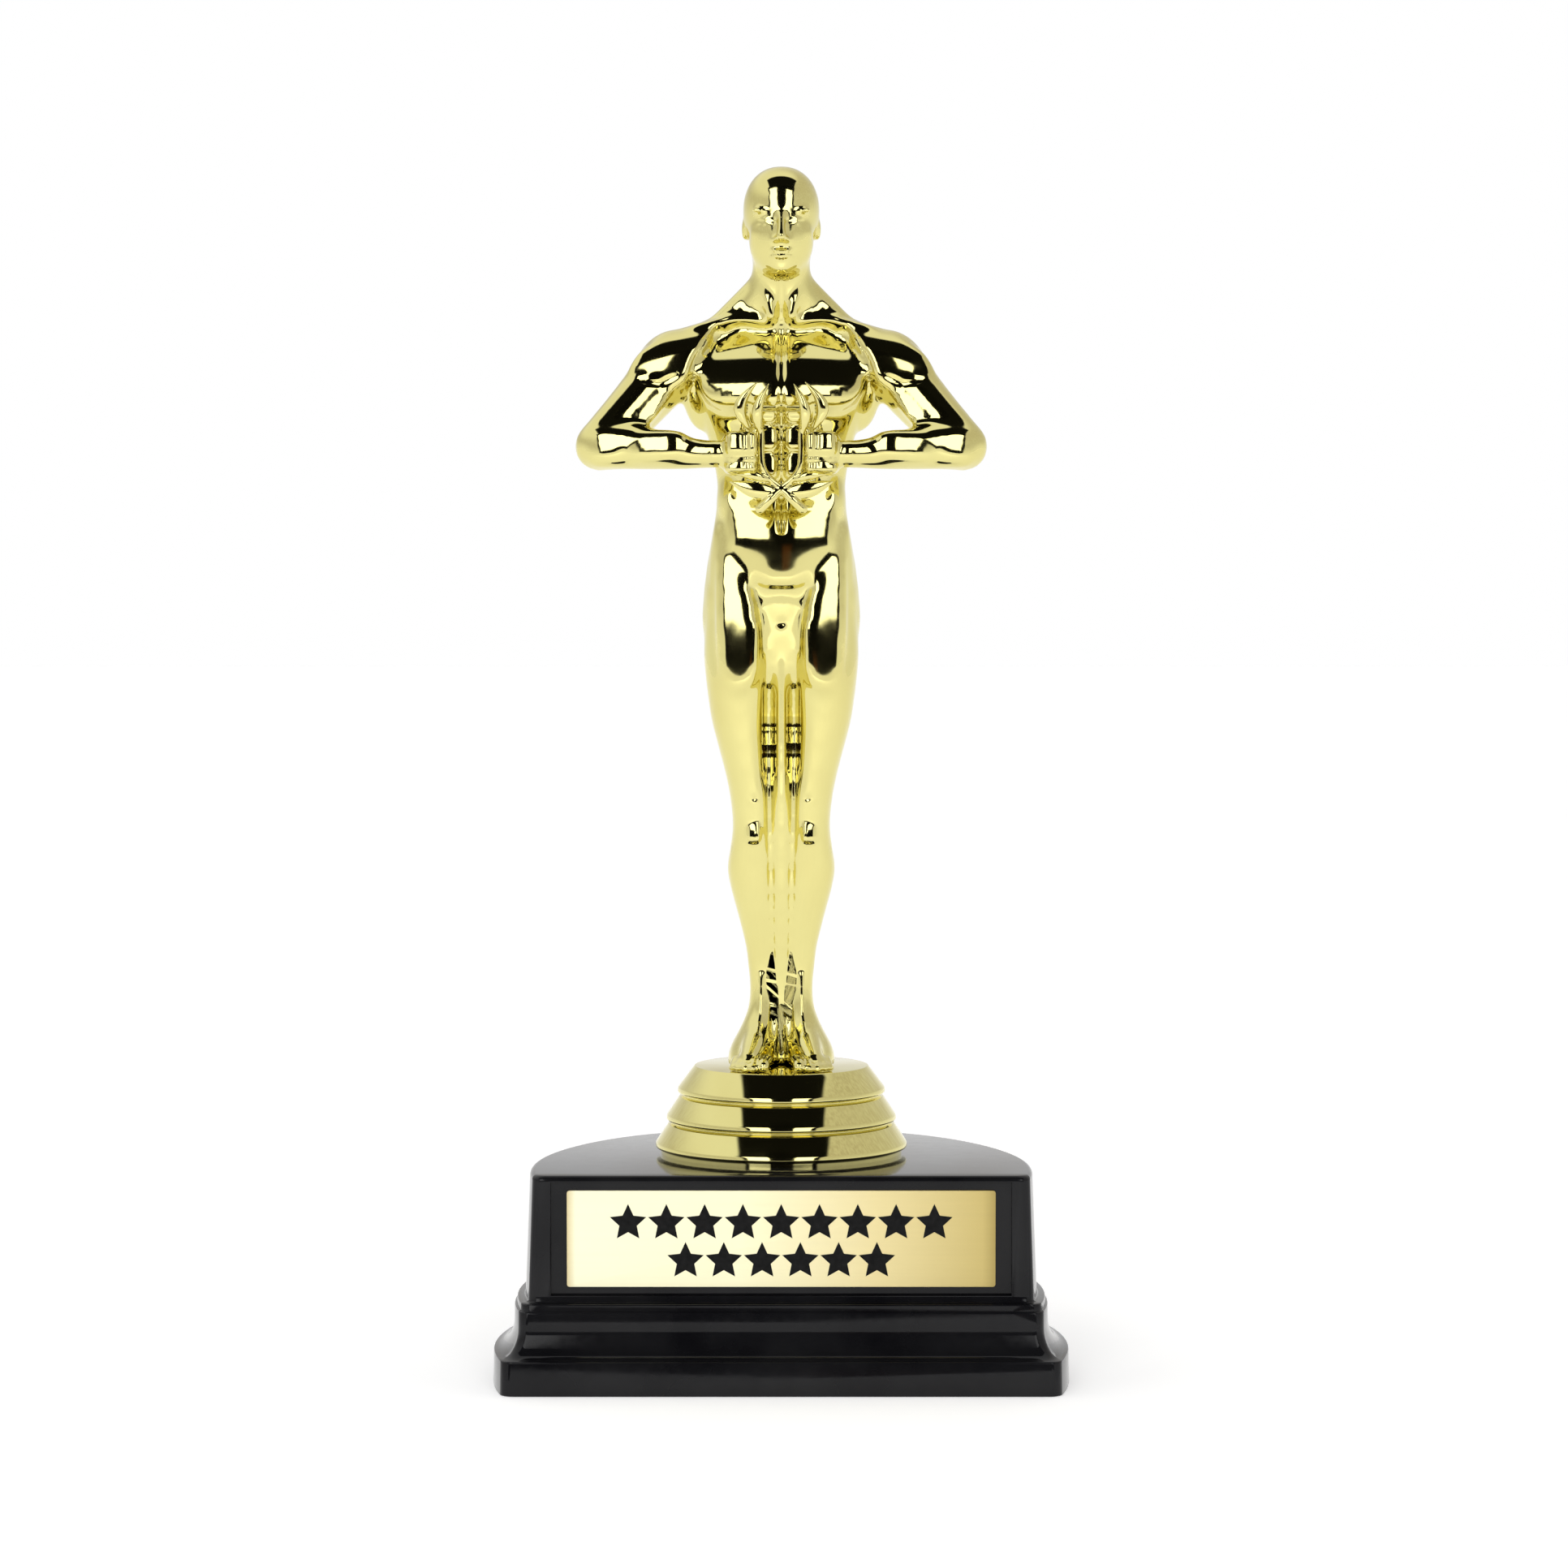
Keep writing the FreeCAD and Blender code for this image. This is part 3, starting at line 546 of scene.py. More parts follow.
def panel(bm, rows, arch, sides=BOTH, steps=10, back_y=-2.0):
    """Pad that faces forward: (height, inner x, outer x, inner y, outer y), arched by some degrees."""
    for side in sides:
        form = bmesh.new()
        rings = []
        for h, inner, outer, inner_y, outer_y in eased(rows):
            rise = math.tan(math.radians(arch)) * (outer - inner) / math.pi
            face = [(inner + (outer - inner) * t,
                     inner_y + (outer_y - inner_y) * t - rise * math.sin(math.pi * t))
                    for t in (i / steps for i in range(steps + 1))]
            outline = face + [(outer, back_y), (inner, back_y)]
            rings.append([form.verts.new(at(x, y, h, side)) for x, y in outline])
        for above, below in zip(rings, rings[1:]):
            for i in range(len(above)):
                form.faces.new((above[i - 1], above[i], below[i], below[i - 1]))
        form.faces.new(rings[0])
        form.faces.new(rings[-1])
        keep(bm, form)


# %% Trunk and legs
def body_forms(bm):
    trunk(bm, [(57, 0, 8.2, -3.6, 5.0), (62, 0, 11.0, -4.7, 6.7), (66, 0, 11.85, -5.0, 7.5),
               (70, 0, 11.7, -5.2, 7.3), (75, 0, 11.1, -5.3, 6.3), (80, 0, 10.2, -5.4, 5.3),
               (84.5, 0, 9.6, -5.4, 4.9), (88, 0, 9.7, -5.5, 4.8), (93, 0, 10.8, -5.9, 5.3),
               (98, 0, 12.0, -6.0, 6.0), (103, 0, 12.6, -4.6, 6.7), (107, 0, 11.9, -2.2, 6.6),
               (110.5, 0, 9.2, -.2, 5.8), (113, 0, 6.9, -1.6, 5.2), (116, 0, 5.0, -2.6, 5.0),
               (119.5, 0, 4.2, -3.0, 4.8), (123, 0, 4.0, -3.4, 4.4)], square=0.88)
    trunk(bm, [(80.5, 8.9, 1.2, -3.8, 1.0), (77, 8.4, 2.2, -4.4, 3.0), (73, 7.7, 3.3, -4.9, 5.0),
               (69, 7.0, 4.2, -5.2, 5.8), (65, 6.45, 5.0, -5.5, 5.9), (61, 6.1, 5.45, -6.0, 5.8),
               (57, 6.4, 4.8, -6.5, 5.7), (52, 6.3, 4.2, -5.95, 5.4), (48, 5.8, 3.7, -5.5, 5.0),
               (44, 5.2, 3.25, -5.05, 4.7), (40, 4.5, 3.15, -4.6, 4.5), (36, 4.25, 3.05, -4.15, 4.4),
               (33, 4.3, 3.3, -3.75, 4.7), (29.6, 4.45, 3.65, -3.2, 5.9), (26.6, 4.2, 3.45, -2.8, 6.3),
               (23.6, 3.85, 3.0, -2.2, 6.2), (20.5, 3.45, 2.6, -1.4, 5.9), (17.5, 3.15, 2.2, -.7, 5.7),
               (14.5, 3.0, 2.0, -.2, 5.6), (11.5, 2.9, 1.85, -.2, 5.6), (8.4, 3.0, 2.0, -.8, 5.9),
               (5.5, 3.45, 2.7, -2.4, 6.3), (2.4, 4.2, 3.6, -4.6, 6.8), (0, 4.4, 3.7, -5.8, 6.8)],
          BOTH, square=0.85)
    panel(bm, [(86.5, -7.8, 7.8, -3.5, -3.5), (84.5, -8.4, 8.4, -4.1, -4.1), (82, -8.4, 8.4, -4.8, -4.8),
               (79, -8.0, 8.0, -5.35, -5.35), (76.5, -7.2, 7.2, -5.55, -5.55),
               (74.6, -6.0, 6.0, -5.75, -5.75), (73, -4.6, 4.6, -6.0, -6.0),
               (71.6, -2.8, 2.8, -6.2, -6.2)], arch=15, sides=(1,))  # belly
    panel(bm, [(79.5, 7.6, 8.9, -4.4, -4.2), (77.5, 6.6, 9.3, -5.1, -4.75), (74.5, 5.5, 9.6, -5.8, -5.2),
               (71, 4.4, 9.7, -6.4, -5.6), (67.5, 3.6, 9.7, -6.9, -5.95), (64, 3.3, 9.6, -7.2, -6.2),
               (61, 3.3, 9.4, -7.35, -6.4), (59, 3.5, 9.1, -7.4, -6.5), (57.4, 4.1, 8.6, -7.4, -6.6),
               (56.2, 5.2, 7.6, -7.15, -6.8)], arch=7)               # front of the thighs
    trunk(bm, [(77, 0, 3.0, -4.4, 0), (71, 0, 4.8, -5.5, 0), (66, 0, 3.8, -5.2, 0), (62, 0, 2.8, -4.8, 0),
               (57, 0, 1.5, -4.2, 0)])                               # groin
    lump(bm, (7.6, -.8, 84), (2.1, 4.0, 5.0))                        # flanks
    lump(bm, (8.6, .9, 69), (3.0, 5.6, 7.5))                         # hips
    lump(bm, (5.2, 4.0, 67), (5.6, 4.6, 6.6))                        # seat
    lump(bm, (2.2, 1.8, 24), (2.0, 3.0, 8))                          # calves, where they meet
    trunk(bm, [(0, 0, 1.3, -.2, 4.0), (8, 0, 1.3, -.2, 4.1), (14, 0, 1.4, -.5, 3.8),
               (20, 0, 1.5, -1.5, 3.6), (26, 0, 1.7, -2.5, 3.2), (32, 0, 1.7, -3.1, 2.8),
               (40, 0, 1.4, -4.0, 2.0), (50, 0, 1.1, -4.9, 1.6), (60, 0, 1.15, -4.9, 1.2),
               (66, 0, 1.2, -4.6, 1.0), (72, 0, .6, -4.2, 1.0)])     # web that joins the legs
    trunk(bm, [(30, 0, 2.2, -2.2, 2.4), (40, 0, 2.6, -2.5, 2.4), (50, 0, 3.2, -1.9, 2.4),
               (60, 0, 3.6, -1.2, 3), (68, 0, 3.0, -.8, 3)])         # floor of the slots beside it
    limb(bm, [(2.95, 2.2, 9.5, 1.6), (3.3, -.2, 5.6, 1.9), (4.1, -4, 2.9, 2.0),
              (4.8, -7.6, 1.5, 1.5)])                                # feet


# %% Chest, shoulders and arms
def upper_forms(bm):
    limb(bm, [(3.2, 1.7, 116.2, 2.0), (5.0, 1.5, 114.2, 2.1), (7.0, 1.5, 112.2, 2.1),
              (9.8, 1.4, 109.7, 2.1), (14.2, .8, 107.2, 3.0)])       # from neck to shoulder
    lump(bm, (17.2, .6, 104.2), (4.5, 4.6, 6.1), (0, -35, 0))        # shoulder caps
    panel(bm, [(110.0, 9.5, 12.9, -1.4, -1.0), (108.5, 10.2, 17.7, -3.2, -2.2),
               (106.5, 11.3, 20.7, -4.6, -3.4), (104.5, 12.4, 22.2, -5.3, -4.2),
               (102.8, 13.2, 22.8, -5.7, -4.7), (101.3, 14.4, 22.6, -5.7, -4.9),
               (100.3, 16.4, 21.8, -5.2, -4.8)], arch=7, back_y=0)   # front of the shoulders
    panel(bm, [(100.4, 15.8, 21.8, -5.6, -4.9), (98.5, 16.9, 23.3, -6.5, -5.7),
               (96, 18.8, 25.1, -7.5, -6.7), (93.6, 21.2, 26.8, -8.4, -7.7)], arch=7, back_y=-3)
    panel(bm, [(97.2, -8.5, 8.5, -5.6, -5.6), (98.4, -10.4, 10.4, -6.3, -6.3),
               (99.6, -11.4, 11.4, -6.3, -6.3), (100.6, -12, 12, -5.9, -5.9),
               (102.6, -12.5, 12.5, -4.8, -4.8), (104.8, -12.5, 12.5, -3.2, -3.2),
               (106.4, -12.3, 12.3, -1.5, -1.5), (108.4, -11.4, 11.4, .7, .7),
               (110.2, -9.5, 9.5, 2.4, 2.4)], arch=18, sides=(1,), steps=20, back_y=4.0)   # chest
    lump(bm, (12.0, 1.5, 101), (3.0, 3.6, 6.5), (0, 6, 0))           # under the arms
    lump(bm, (8.0, 3.6, 104.5), (6.0, 3.6, 6.4))                     # shoulder blades
    limb(bm, [(17.6, -.6, 102.8, 4.6), (21.7, -3.2, 97.9, 4.15), (25.3, -5.4, 93.9, 3.75),
              (26.9, -6.3, 92.2, 3.6)])                              # upper arms
    limb(bm, [(26.9, -6.3, 92.15, 3.6), (23.5, -7.4, 92.2, 3.5), (19, -8.6, 91.7, 3.1),
              (14.5, -9.7, 91.1, 2.5), (11.0, -10.6, 90.9, 2.15), (9.6, -11.0, 90.9, 2.2)])   # forearms
    lump(bm, (18.2, -9.3, 91.7), (5.2, 2.9, 2.7), (-13, 1, 11), BOTH, 0.62)   # forearm muscles
    lump(bm, (25.2, -7.9, 91.9), (3.6, 2.7, 3.1), (-10, 1, 10), BOTH, 0.62)
    limb(bm, [(1.6, -1.0, 110.8, .7), (7.0, -1.2, 111.2, .7), (13, -1.0, 109.7, .8)])   # collarbones
    limb(bm, [(3.6, 1.2, 121, 1.0), (2.6, -1.2, 116, .9), (1.3, -2.2, 111.4, .7)])      # neck cords


# %% Head
def head_forms(bm):
    lump(bm, (0, .7, 127.2), (5.75, 6.7, 6.75), sides=(1,), square=.92)   # skull
    lump(bm, (0, -1.6, 122.9), (4.9, 5.0, 5.9), sides=(1,))          # face
    lump(bm, (0, -2.7, 119.8), (3.5, 3.6, 2.6), sides=(1,))          # jaw
    lump(bm, (0, -5.1, 118.5), (1.5, 1.2, 1.2), sides=(1,))          # chin
    lump(bm, (3.2, -3.7, 123.7), (1.5, 1.5, 1.4))                    # cheekbones


def small_forms(bm):
    """Forms too fine for the first melting: hands, feet, face, belly muscles."""
    lump(bm, (6.6, fist_y + .2, 91.0), (2.3, 1.9, 3.3), square=0.7)   # palms
    lump(bm, (5.7, fist_y - 1.3, 92.3), (2.3, 1.4, 1.75), (-8, 0, 5), BOTH, 0.42)    # first two fingers
    lump(bm, (5.6, fist_y - 1.2, 90.0), (2.2, 1.3, .5), (-5, 0, 5), BOTH, 0.5)
    lump(bm, (5.9, fist_y - 1.2, 88.7), (2.4, 1.4, .65), (-5, 0, 5), BOTH, 0.45)     # little finger
    lump(bm, (2.9, 4.6, 2.4), (2.3, 2.7, 2.6))                       # heels
    toes = ((2.6, -10.2, .95), (4.2, -10.5, .68), (5.4, -10.0, .62), (6.4, -9.2, .58), (7.2, -8.3, .55))
    for x, y, radius in toes:
        limb(bm, [(x - .4, y + 2.6, 1.6, radius), (x, y + .5, radius * 1.15, radius),
                  (x, y, radius * .9, radius)], segments=16)
    lump(bm, (4.2, -3.82, 35.0), (1.1, .55, 1.4), (-4, 0, 14), square=0.4)          # kneecaps
    for h, tall in ((97.9, 2.5), (93.3, 1.9), (89.2, 1.9)):
        lump(bm, (2.45, -5.7, h), (2.25, 1.2, tall), (-5, 0, 0), square=.5)          # belly muscles
    lump(bm, (2.3, -4.65, 126.8), (2.3, .95, .5), (0, -4, -14))      # brows
    lump(bm, (2.05, -5.0, 125.3), (1.0, .9, .62), (0, 0, -14))       # eyes
    limb(bm, [(0, -5.9, 126.4, .5), (0, -6.9, 124.2, .55), (0, -7.5, 122.9, .75)], sides=(1,),
         segments=16)                                                # nose
    lump(bm, (.8, -6.6, 122.5), (.55, .7, .45))                      # nostrils
    lump(bm, (0, -6.25, 120.75), (1.55, .75, .36), sides=(1,))       # lips
    lump(bm, (0, -6.1, 120.1), (1.25, .75, .42), sides=(1,))
    lump(bm, (5.35, .9, 124.8), (.5, 1.2, 1.9), (-12, 0, 12))        # ears


# %% [markdown]
# ## Figure: melt, then cut the lines
# Two meltings keep both kinds of form. The big forms get a coarse skin and long smoothing, so the
# muscles flow. The hands, feet and face are then added, with a fine skin and a little smoothing.
# Lines such as the crease of the groin are strokes: the skin moves in or out near a line, as a
# modelling tool would press it, and the depth fades with distance from the line.

# %% Melt the forms
def melted(bm, name, voxel, rounds):
    """New mesh that is the outer skin of every closed form in bm, smoothed."""
    mesh = bpy.data.meshes.new(name)
    bm.to_mesh(mesh)
    bm.free()
    clay = bpy.data.objects.new(name, mesh)
    bpy.context.scene.collection.objects.link(clay)
    remesh = clay.modifiers.new("skin", "REMESH")
    remesh.mode = "VOXEL"
    remesh.voxel_size = voxel
    smooth = clay.modifiers.new("melt", "SMOOTH")
    smooth.factor = 0.5
    smooth.iterations = rounds
    skin = bpy.data.meshes.new_from_object(clay.evaluated_get(bpy.context.evaluated_depsgraph_get()))
    bpy.data.objects.remove(clay)
    bpy.data.meshes.remove(mesh)
    print(f"{name}: {len(skin.vertices)} points")
    return skin


bm = bmesh.new()
body_forms(bm)
upper_forms(bm)
head_forms(bm)
soft = melted(bm, "soft_forms", voxel=0.5, rounds=14)
bm = bmesh.new()
small_forms(bm)
bm.from_mesh(soft)
skin = melted(bm, "figure_skin", voxel=0.30, rounds=5)


# %% Press the lines
LONG_STROKE = 3.0                           # longer ones fade out towards their ends
FADING = 0.2                                # share of a long stroke that fades, at each end
FULL_TURN = 0.4                             # how squarely skin must face the stroke to get all its depth
FRONT, REAR = -1, 1


def press(mesh, strokes):
    """Moves the skin along its normals near each stroke: (points (x, h), width, depth, facing, sides)."""
    count = len(mesh.vertices)
    place = np.empty(count * 3, np.float32)
    mesh.vertices.foreach_get("co", place)
    place = place.reshape(-1, 3)
    normal = np.array([v.vector for v in mesh.vertex_normals], np.float32)
    moved = np.zeros(count, np.float32)
    for points, width, depth, facing, sides in strokes:
        turned = np.clip(normal[:, 1] * facing / FULL_TURN, 0, 1)
        for side in sides:
            near = np.full(count, 1e9, np.float32)
            fade = np.ones(count, np.float32)
            flat = np.stack([place[:, 0] * side, place[:, 2] - sole], 1)
            corners = [np.array(point, float) for point in points]
            total = sum(np.linalg.norm(b - a) for a, b in zip(corners, corners[1:]))
            done = 0.0
            for a, b in zip(corners, corners[1:]):
                run = b - a
                length = np.linalg.norm(run)
                along = np.clip(((flat - a) @ run) / length ** 2, 0, 1)
                apart = np.linalg.norm(flat - a - along[:, None] * run, axis=1)
                to_end = np.minimum(done + along * length, total - done - along * length)
                closer = apart < near
                near = np.where(closer, apart, near)
                if total > LONG_STROKE:
                    fade = np.where(closer, np.clip(to_end / (FADING * total), 0, 1) ** 0.5, fade)
                done += length
            amount = -depth * fade * np.exp(-(near / width) ** 2) * turned
            moved = np.where(np.abs(amount) > np.abs(moved), amount, moved)
    place += normal * moved[:, None]
    mesh.vertices.foreach_set("co", place.ravel())
    mesh.update()


strokes = [
    ([(13.6, 102.0), (12.6, 105), (11.0, 108.2), (9, 110.2)], .6, .5, FRONT, BOTH),
    ([(0, 110.0), (0, 101.0)], .6, .5, FRONT, (1,)),
    ([(0, 101.0), (0, 86.5)], .55, .4, FRONT, (1,)),
    ([(0, 84.8), (0, 79)], .6, .3, FRONT, (1,)),
    ([(4.9, 100), (5.2, 93), (4.9, 87)], .6, .35, FRONT, BOTH),
    ([(2.05, 60), (1.85, 43)], .6, .6, FRONT, BOTH),
    ([(2.1, 62), (1.95, 50), (1.7, 31)], .45, .45, FRONT, BOTH),
    ([(1.7, 36), (1.55, 28), (1.4, 18), (1.2, 12)], .4, .25, FRONT, BOTH),
    ([(1.1, 12), (1.2, 4)], .4, .5, FRONT, BOTH),
    ([(0, 9), (0, 0)], .5, .7, FRONT, (1,)),
    ([(3.9, 40.2), (3.95, 40.3)], .35, .2, FRONT, BOTH),
    ([(0, 66.2), (.05, 66.3)], .5, .2, FRONT, (1,)),
    ([(3.0, 14), (3.1, 8), (3.5, 5)], .4, -.35, FRONT, BOTH),
    ([(15.2, 102.8), (18, 101.4), (21.4, 102.0)], .45, .3, FRONT, BOTH),
    ([(0, 118), (0, 111.5)], .5, .4, FRONT, (1,)),
    ([(.9, 125.3), (2.1, 125.35), (3.2, 125.2)], .22, .18, FRONT, BOTH),
    ([(0, 120.45), (1.5, 120.5)], .2, .25, FRONT, BOTH),
    ([(0, 112), (0, 75)], 1.0, .9, REAR, (1,)),
    ([(0, 73), (0, 62)], .7, 1.1, REAR, (1,)),
    ([(1.6, 61.5), (4.5, 61.0), (8, 62.2)], .7, .5, REAR, BOTH),
    ([(3.2, 109), (4.6, 104), (7, 100), (11, 98.6)], .9, .5, REAR, BOTH),
    ([(1.6, 60), (1.5, 45), (1.4, 30), (1.2, 12)], .5, .6, REAR, BOTH),
    ([(2.6, 36.2), (6.2, 36.2)], .8, .35, REAR, BOTH),
    ([(4.4, 31), (4.2, 24), (3.4, 17)], .7, .3, REAR, BOTH),
]
press(skin, strokes)


# %% Split the figure into its two mouldings
def half_figure(mesh, towards, name, node):
    """The half of the skin on one side of the parting plane y = 0, closed by a flat face, on flat soles."""
    bm = bmesh.new()
    bm.from_mesh(mesh)
    top = max(v.co.z for v in bm.verts)
    bmesh.ops.translate(bm, vec=(0, 0, -sole), verts=bm.verts)
    bmesh.ops.scale(bm, vec=(1, 1, figure_height / (top - sole)), verts=bm.verts)
    for place, normal in (((0, 0, 0), (0, 0, -1)), ((0, 0, 0), (0, -towards, 0))):
        everything = bm.verts[:] + bm.edges[:] + bm.faces[:]
        bmesh.ops.bisect_plane(bm, geom=everything, dist=0.002, plane_co=place, plane_no=normal,
                               clear_outer=True)
        bmesh.ops.holes_fill(bm, edges=[e for e in bm.edges if e.is_boundary], sides=0)
    bmesh.ops.translate(bm, vec=(0, 0, sole), verts=bm.verts)
    bmesh.ops.recalc_face_normals(bm, faces=bm.faces)
    return add_piece(bm, name, GOLD, node, crease=60)


half_figure(skin, -1, "figure_front_half", "figure_front")
half_figure(skin, 1, "figure_back_half", "figure_back")
bpy.data.meshes.remove(skin)
bpy.data.meshes.remove(soft)

# %% [markdown]
# ## Laurel wreath
# The wreath is two branches that cross below the hands, pass up through the fists and curve in at
# their tips. Each branch is a stem with a bunch of leaves above the fist and one long low leaf.
# Leaves on a small plated part are thick and smooth, so each is a loft of narrow ovals. A fine
# remesh then joins leaves and stems into one moulding.

# %% Leaves and stems
def leaf(bm, root, tip, wide, side, bow=(0, 0, 0)):
    """Thick pointed leaf from root to tip (x, y, h), bowed in the middle."""
    start, end = at(*root, side), at(*tip, side)
    lift = Vector((side * bow[0], bow[1], bow[2]))
    along = (end - start).normalized()
    across = along.cross(Vector((0, 1, 0))).normalized()
    turn = Matrix((across, across.cross(along), along)).transposed().to_4x4()
    places = []
    for t in (i / 16 for i in range(17)):
        body = max(math.sin(math.pi * t ** .8) ** .8, .05)
        point = start.lerp(end, t) + lift * math.sin(math.pi * t)
        places.append(Matrix.Translation(point) @ turn
                      @ Matrix.Diagonal((wide * body, .62 * body ** .6, 1, 1)))
    loft(bm, places, 24)


def branch(bm, side):
    """Stem from its fat foot across to the other fist, and its leaves. The two stems pass each other."""
    front_y = fist_y - 1.2
    stem = [(-3.1, 82.9, .76), (-1.6, 84.3, .68), (0, 85.8, .6), (1.6, 87.2, .55), (2.7, 88.9, .52),
            (2.95, 91, .5), (2.95, 93.8, .5), (3.2, 95.4, .48), (3.3, 97.4, .45), (2.4, 99.4, .35)]
    rows = []
    for x, h, radius in stem:
        aside = .25 * math.copysign(side, x) * (abs(x) < 2.5)
        rows.append((x, front_y + aside, h, radius))
    limb(bm, rows, (side,), 20)
    leaf(bm, (.2, front_y, 85.2), (7.6, front_y + .3, 86.9), 1.25, side, (0, -.3, -.4))
    leaf(bm, (1.6, front_y, 87.0), (6.6, front_y, 87.9), .7, side, (0, -.2, .3))
    leaf(bm, (3.1, front_y, 93.6), (1.8, front_y - .4, 101.1), .8, side, (1.0, -.7, 0))
    leaf(bm, (4.6, front_y + .2, 94.2), (3.4, front_y, 101.4), .95, side, (2.0, -.3, 0))


bm = bmesh.new()
for side in BOTH:
    branch(bm, side)
wreath_skin = melted(bm, "wreath_skin", voxel=0.13, rounds=3)
bm = bmesh.new()
bm.from_mesh(wreath_skin)
bpy.data.meshes.remove(wreath_skin)
bmesh.ops.recalc_face_normals(bm, faces=bm.faces)
add_piece(bm, "laurel_branches", GOLD, "laurel_wreath", crease=60)

# %% [markdown]
# ## Hidden hardware
# The bolt, nut, washers, ballast, tape and felt pad keep their CAD shapes, and each still gets
# the finish of the real thing.

# %% Finish the hardware
def plain_finish(name, first, second, rough, grain_size, bump, metal=0.0, stretch=(1, 1, 1)):
    finish, shader, add, wire = new_finish(name)
    pattern = grain(add, grain_size, 5.0, stretch)
    shader.inputs["Metallic"].default_value = metal
    wire("Base Color", tint(add, pattern, first, second))
    wire("Roughness", between(add, pattern, *rough))
    relief(add, wire, pattern, bump)
    return finish


ZINC = plain_finish("zinc_steel", (.52, .54, .57), (.70, .70, .72), (.22, .38), 1.5, .01, 1.0)
CAST = plain_finish("cast_ballast", (.055, .055, .06), (.12, .115, .11), (.55, .8), 1.1, .12, .6)
FOAM = plain_finish("tape_foam", (.70, .70, .66), (.85, .85, .82), (.7, .9), .3, .03)
FELT = plain_finish("pad_felt", (.008, .008, .009), (.03, .03, .032), (.85, 1.0), .45, .12, 0.0, (1, .4, 1))
hardware = {"hex_bolt": (ZINC, "zinc_steel"), "hex_nut": (ZINC, "zinc_steel"),
            "flat_washer": (ZINC, "zinc_steel"), "lock_washer": (ZINC, "zinc_steel"),
            "base_weight": (CAST, "cast_ballast"), "plate_tape": (FOAM, "tape_foam"),
            "base_pad": (FELT, "pad_felt")}
for name, (finish, slot_name) in hardware.items():
    part = nodes[name]
    part.data.materials.clear()
    part.data.materials.append(finish)
print("hardware finished:", ", ".join(hardware))

# %% [markdown]
# ## Floor, light and camera
# Plating shows its surroundings, so the studio is part of the finish. The light is a white tent
# with one dark opening towards the viewer, where the camera stands, and softboxes in the opening.
# The dark opening is what draws the black shapes on the head, belly and thighs.

# %% Floor
bm = bmesh.new()
bmesh.ops.create_grid(bm, x_segments=8, y_segments=8, size=6.0)
floor_mesh = bpy.data.meshes.new("floor")
bm.to_mesh(floor_mesh)
bm.free()
floor = bpy.data.objects.new("floor", floor_mesh)
bpy.context.scene.collection.objects.link(floor)
floor_finish, floor_shader, add, wire = new_finish("white_floor")
floor_shader.inputs["Roughness"].default_value = 0.9
floor_shader.inputs["Specular IOR Level"].default_value = 0.0
floor_shader.inputs["Emission Color"].default_value = (1, 1, 1, 1)
floor_shader.inputs["Emission Strength"].default_value = 0.45
wire("Base Color", tint(add, grain(add, 60), (0.80, 0.80, 0.80), (0.82, 0.82, 0.82)))
floor_mesh.materials.append(floor_finish)

# %% Studio light
studio = bpy.data.worlds.new("studio")
bpy.context.scene.world = studio
studio.use_nodes = True
tree = studio.node_tree
tree.nodes.clear()


def node(kind, *values, operation=None):
    made = tree.nodes.new(kind)
    if operation:
        made.operation = operation
    for socket, value in zip(made.inputs, values):
        if isinstance(value, bpy.types.NodeSocket):
            tree.links.new(value, socket)
        elif value is not None:
            socket.default_value = value
    return made.outputs[0]


def ramp_up(value, start, end):
    """0 before start, 1 after end, smooth between."""
    made = tree.nodes.new("ShaderNodeMapRange")
    made.interpolation_type = "SMOOTHSTEP"
    tree.links.new(value, made.inputs["Value"])
    made.inputs["From Min"].default_value = start
    made.inputs["From Max"].default_value = end
    return made.outputs["Result"]


def times(*values):
    result = values[0]
    for value in values[1:]:
        result = node("ShaderNodeMath", result, value, operation="MULTIPLY")
    return result


direction = node("ShaderNodeTexCoord")
split = tree.nodes.new("ShaderNodeSeparateXYZ")
tree.links.new(direction, split.inputs[0])
across, depth, rise = split.outputs
toward = node("ShaderNodeMath", depth, -1.0, operation="MULTIPLY")
lift = node("ShaderNodeMath", node("ShaderNodeMath", rise, toward, operation="ARCTAN2"), 180 / math.pi,
            operation="MULTIPLY")


def window(left, right, low, high, soft=0.02, soft_lift=2.0):
    """Mask of the directions between two sideways limits and two lifts in degrees above the viewer."""
    return times(ramp_up(across, left - soft, left + soft), ramp_up(across, right + soft, right - soft),
                 ramp_up(lift, low - soft_lift, low + soft_lift),
                 ramp_up(lift, high + soft_lift, high - soft_lift))


def blend(mask, first, second):
    made = tree.nodes.new("ShaderNodeMix")
    made.data_type = "RGBA"
    for socket, value in zip((made.inputs[0], made.inputs[6], made.inputs[7]), (mask, first, second)):
        if isinstance(value, bpy.types.NodeSocket):
            tree.links.new(value, socket)
        else:
            socket.default_value = value
    return made.outputs[2]


def grey(level, warm=1.0):
    return (level, level * (1 + warm) / 2, level * warm, 1)


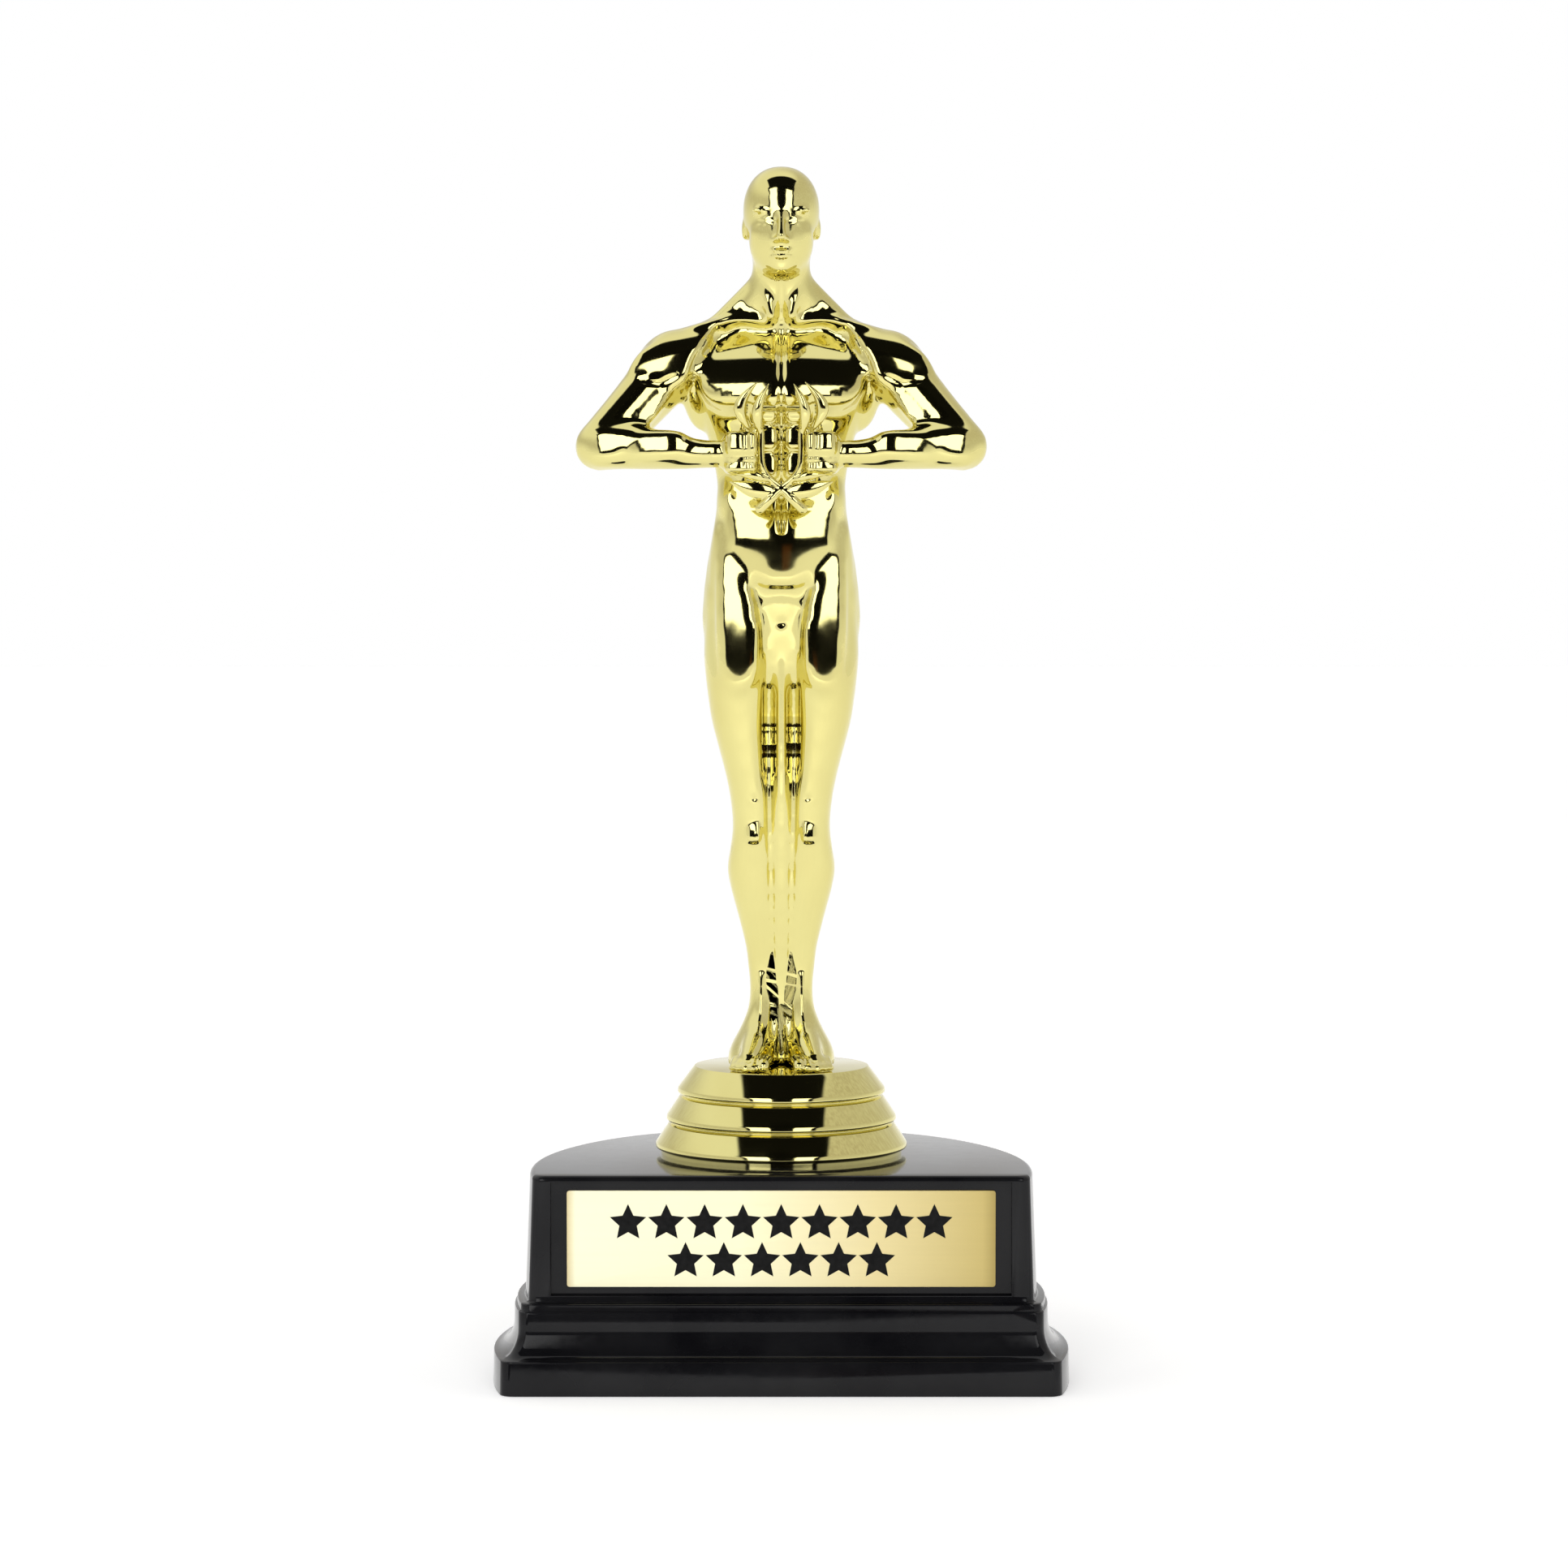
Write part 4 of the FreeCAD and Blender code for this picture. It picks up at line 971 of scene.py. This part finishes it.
# The tent: pale cloth that hangs in folds, brighter on the left and overhead.
folds = node("ShaderNodeVectorMath", direction, (9, 9, 0.7), operation="MULTIPLY")
cloth = tree.nodes.new("ShaderNodeTexNoise")
tree.links.new(folds, cloth.inputs["Vector"])
shade = ramp_up(cloth.outputs["Fac"], 0.35, 0.65)
low_light = blend(shade, grey(0.74), grey(0.64, 0.9))
right_light = blend(shade, grey(0.72, 0.94), grey(0.58, 0.88))
high_light = blend(ramp_up(across, -0.5, 0.6), grey(0.98), right_light)
low_light = blend(ramp_up(rise, -0.02, 0.3), grey(0.95), low_light)
tent = blend(ramp_up(rise, 0.3, 0.65), low_light, high_light)
tent = blend(ramp_up(rise, 0.75, 0.98), tent, grey(1.0))

# The opening, the brown of the room through it, and the two softboxes: left, right, low, high, level.
light = blend(window(-0.56, 0.56, -10, 62), tent, grey(0.004))
light = blend(window(-0.50, 0.54, 58, 94, 0.02, 2.0), light, grey(0.006))
light = blend(window(0.02, 0.16, -11, 3, 0.03, 2.0), light, (0.06, 0.022, 0.008, 1))
softboxes = ((-0.50, -0.18, 8, 54, 2.6), (0.20, 0.48, 9, 50, 2.4))
for left, right, low, high, level in softboxes:
    light = blend(window(left, right, low, high, 0.012, 1.0), light, grey(level))
camera_ray = tree.nodes.new("ShaderNodeLightPath").outputs["Is Camera Ray"]
light = blend(camera_ray, light, grey(1.0))
background = tree.nodes.new("ShaderNodeBackground")
tree.links.new(light, background.inputs["Color"])
out = tree.nodes.new("ShaderNodeOutputWorld")
tree.links.new(background.outputs[0], out.inputs["Surface"])

# %% Soft fill from the front, which lights the plate but isn't seen in the plating
fill_data = bpy.data.lights.new("front_fill", "AREA")
fill_data.energy = 1.6
fill_data.size = 0.5
fill = bpy.data.objects.new("front_fill", fill_data)
fill.location = (0, -0.75, 0.30)
fill.rotation_euler = (math.radians(75), 0, 0)
fill.visible_glossy = False
bpy.context.scene.collection.objects.link(fill)

# %% Camera
camera_data = bpy.data.cameras.new("camera")
camera_data.lens = 92.25
camera_data.sensor_width = 36
camera = bpy.data.objects.new("camera", camera_data)
camera.location = (0.0004, -0.600, 0.114)
camera.rotation_euler = (math.radians(90 - 2.669), 0, 0)
bpy.context.scene.collection.objects.link(camera)
bpy.context.scene.camera = camera
bpy.context.scene.view_settings.view_transform = "Standard"
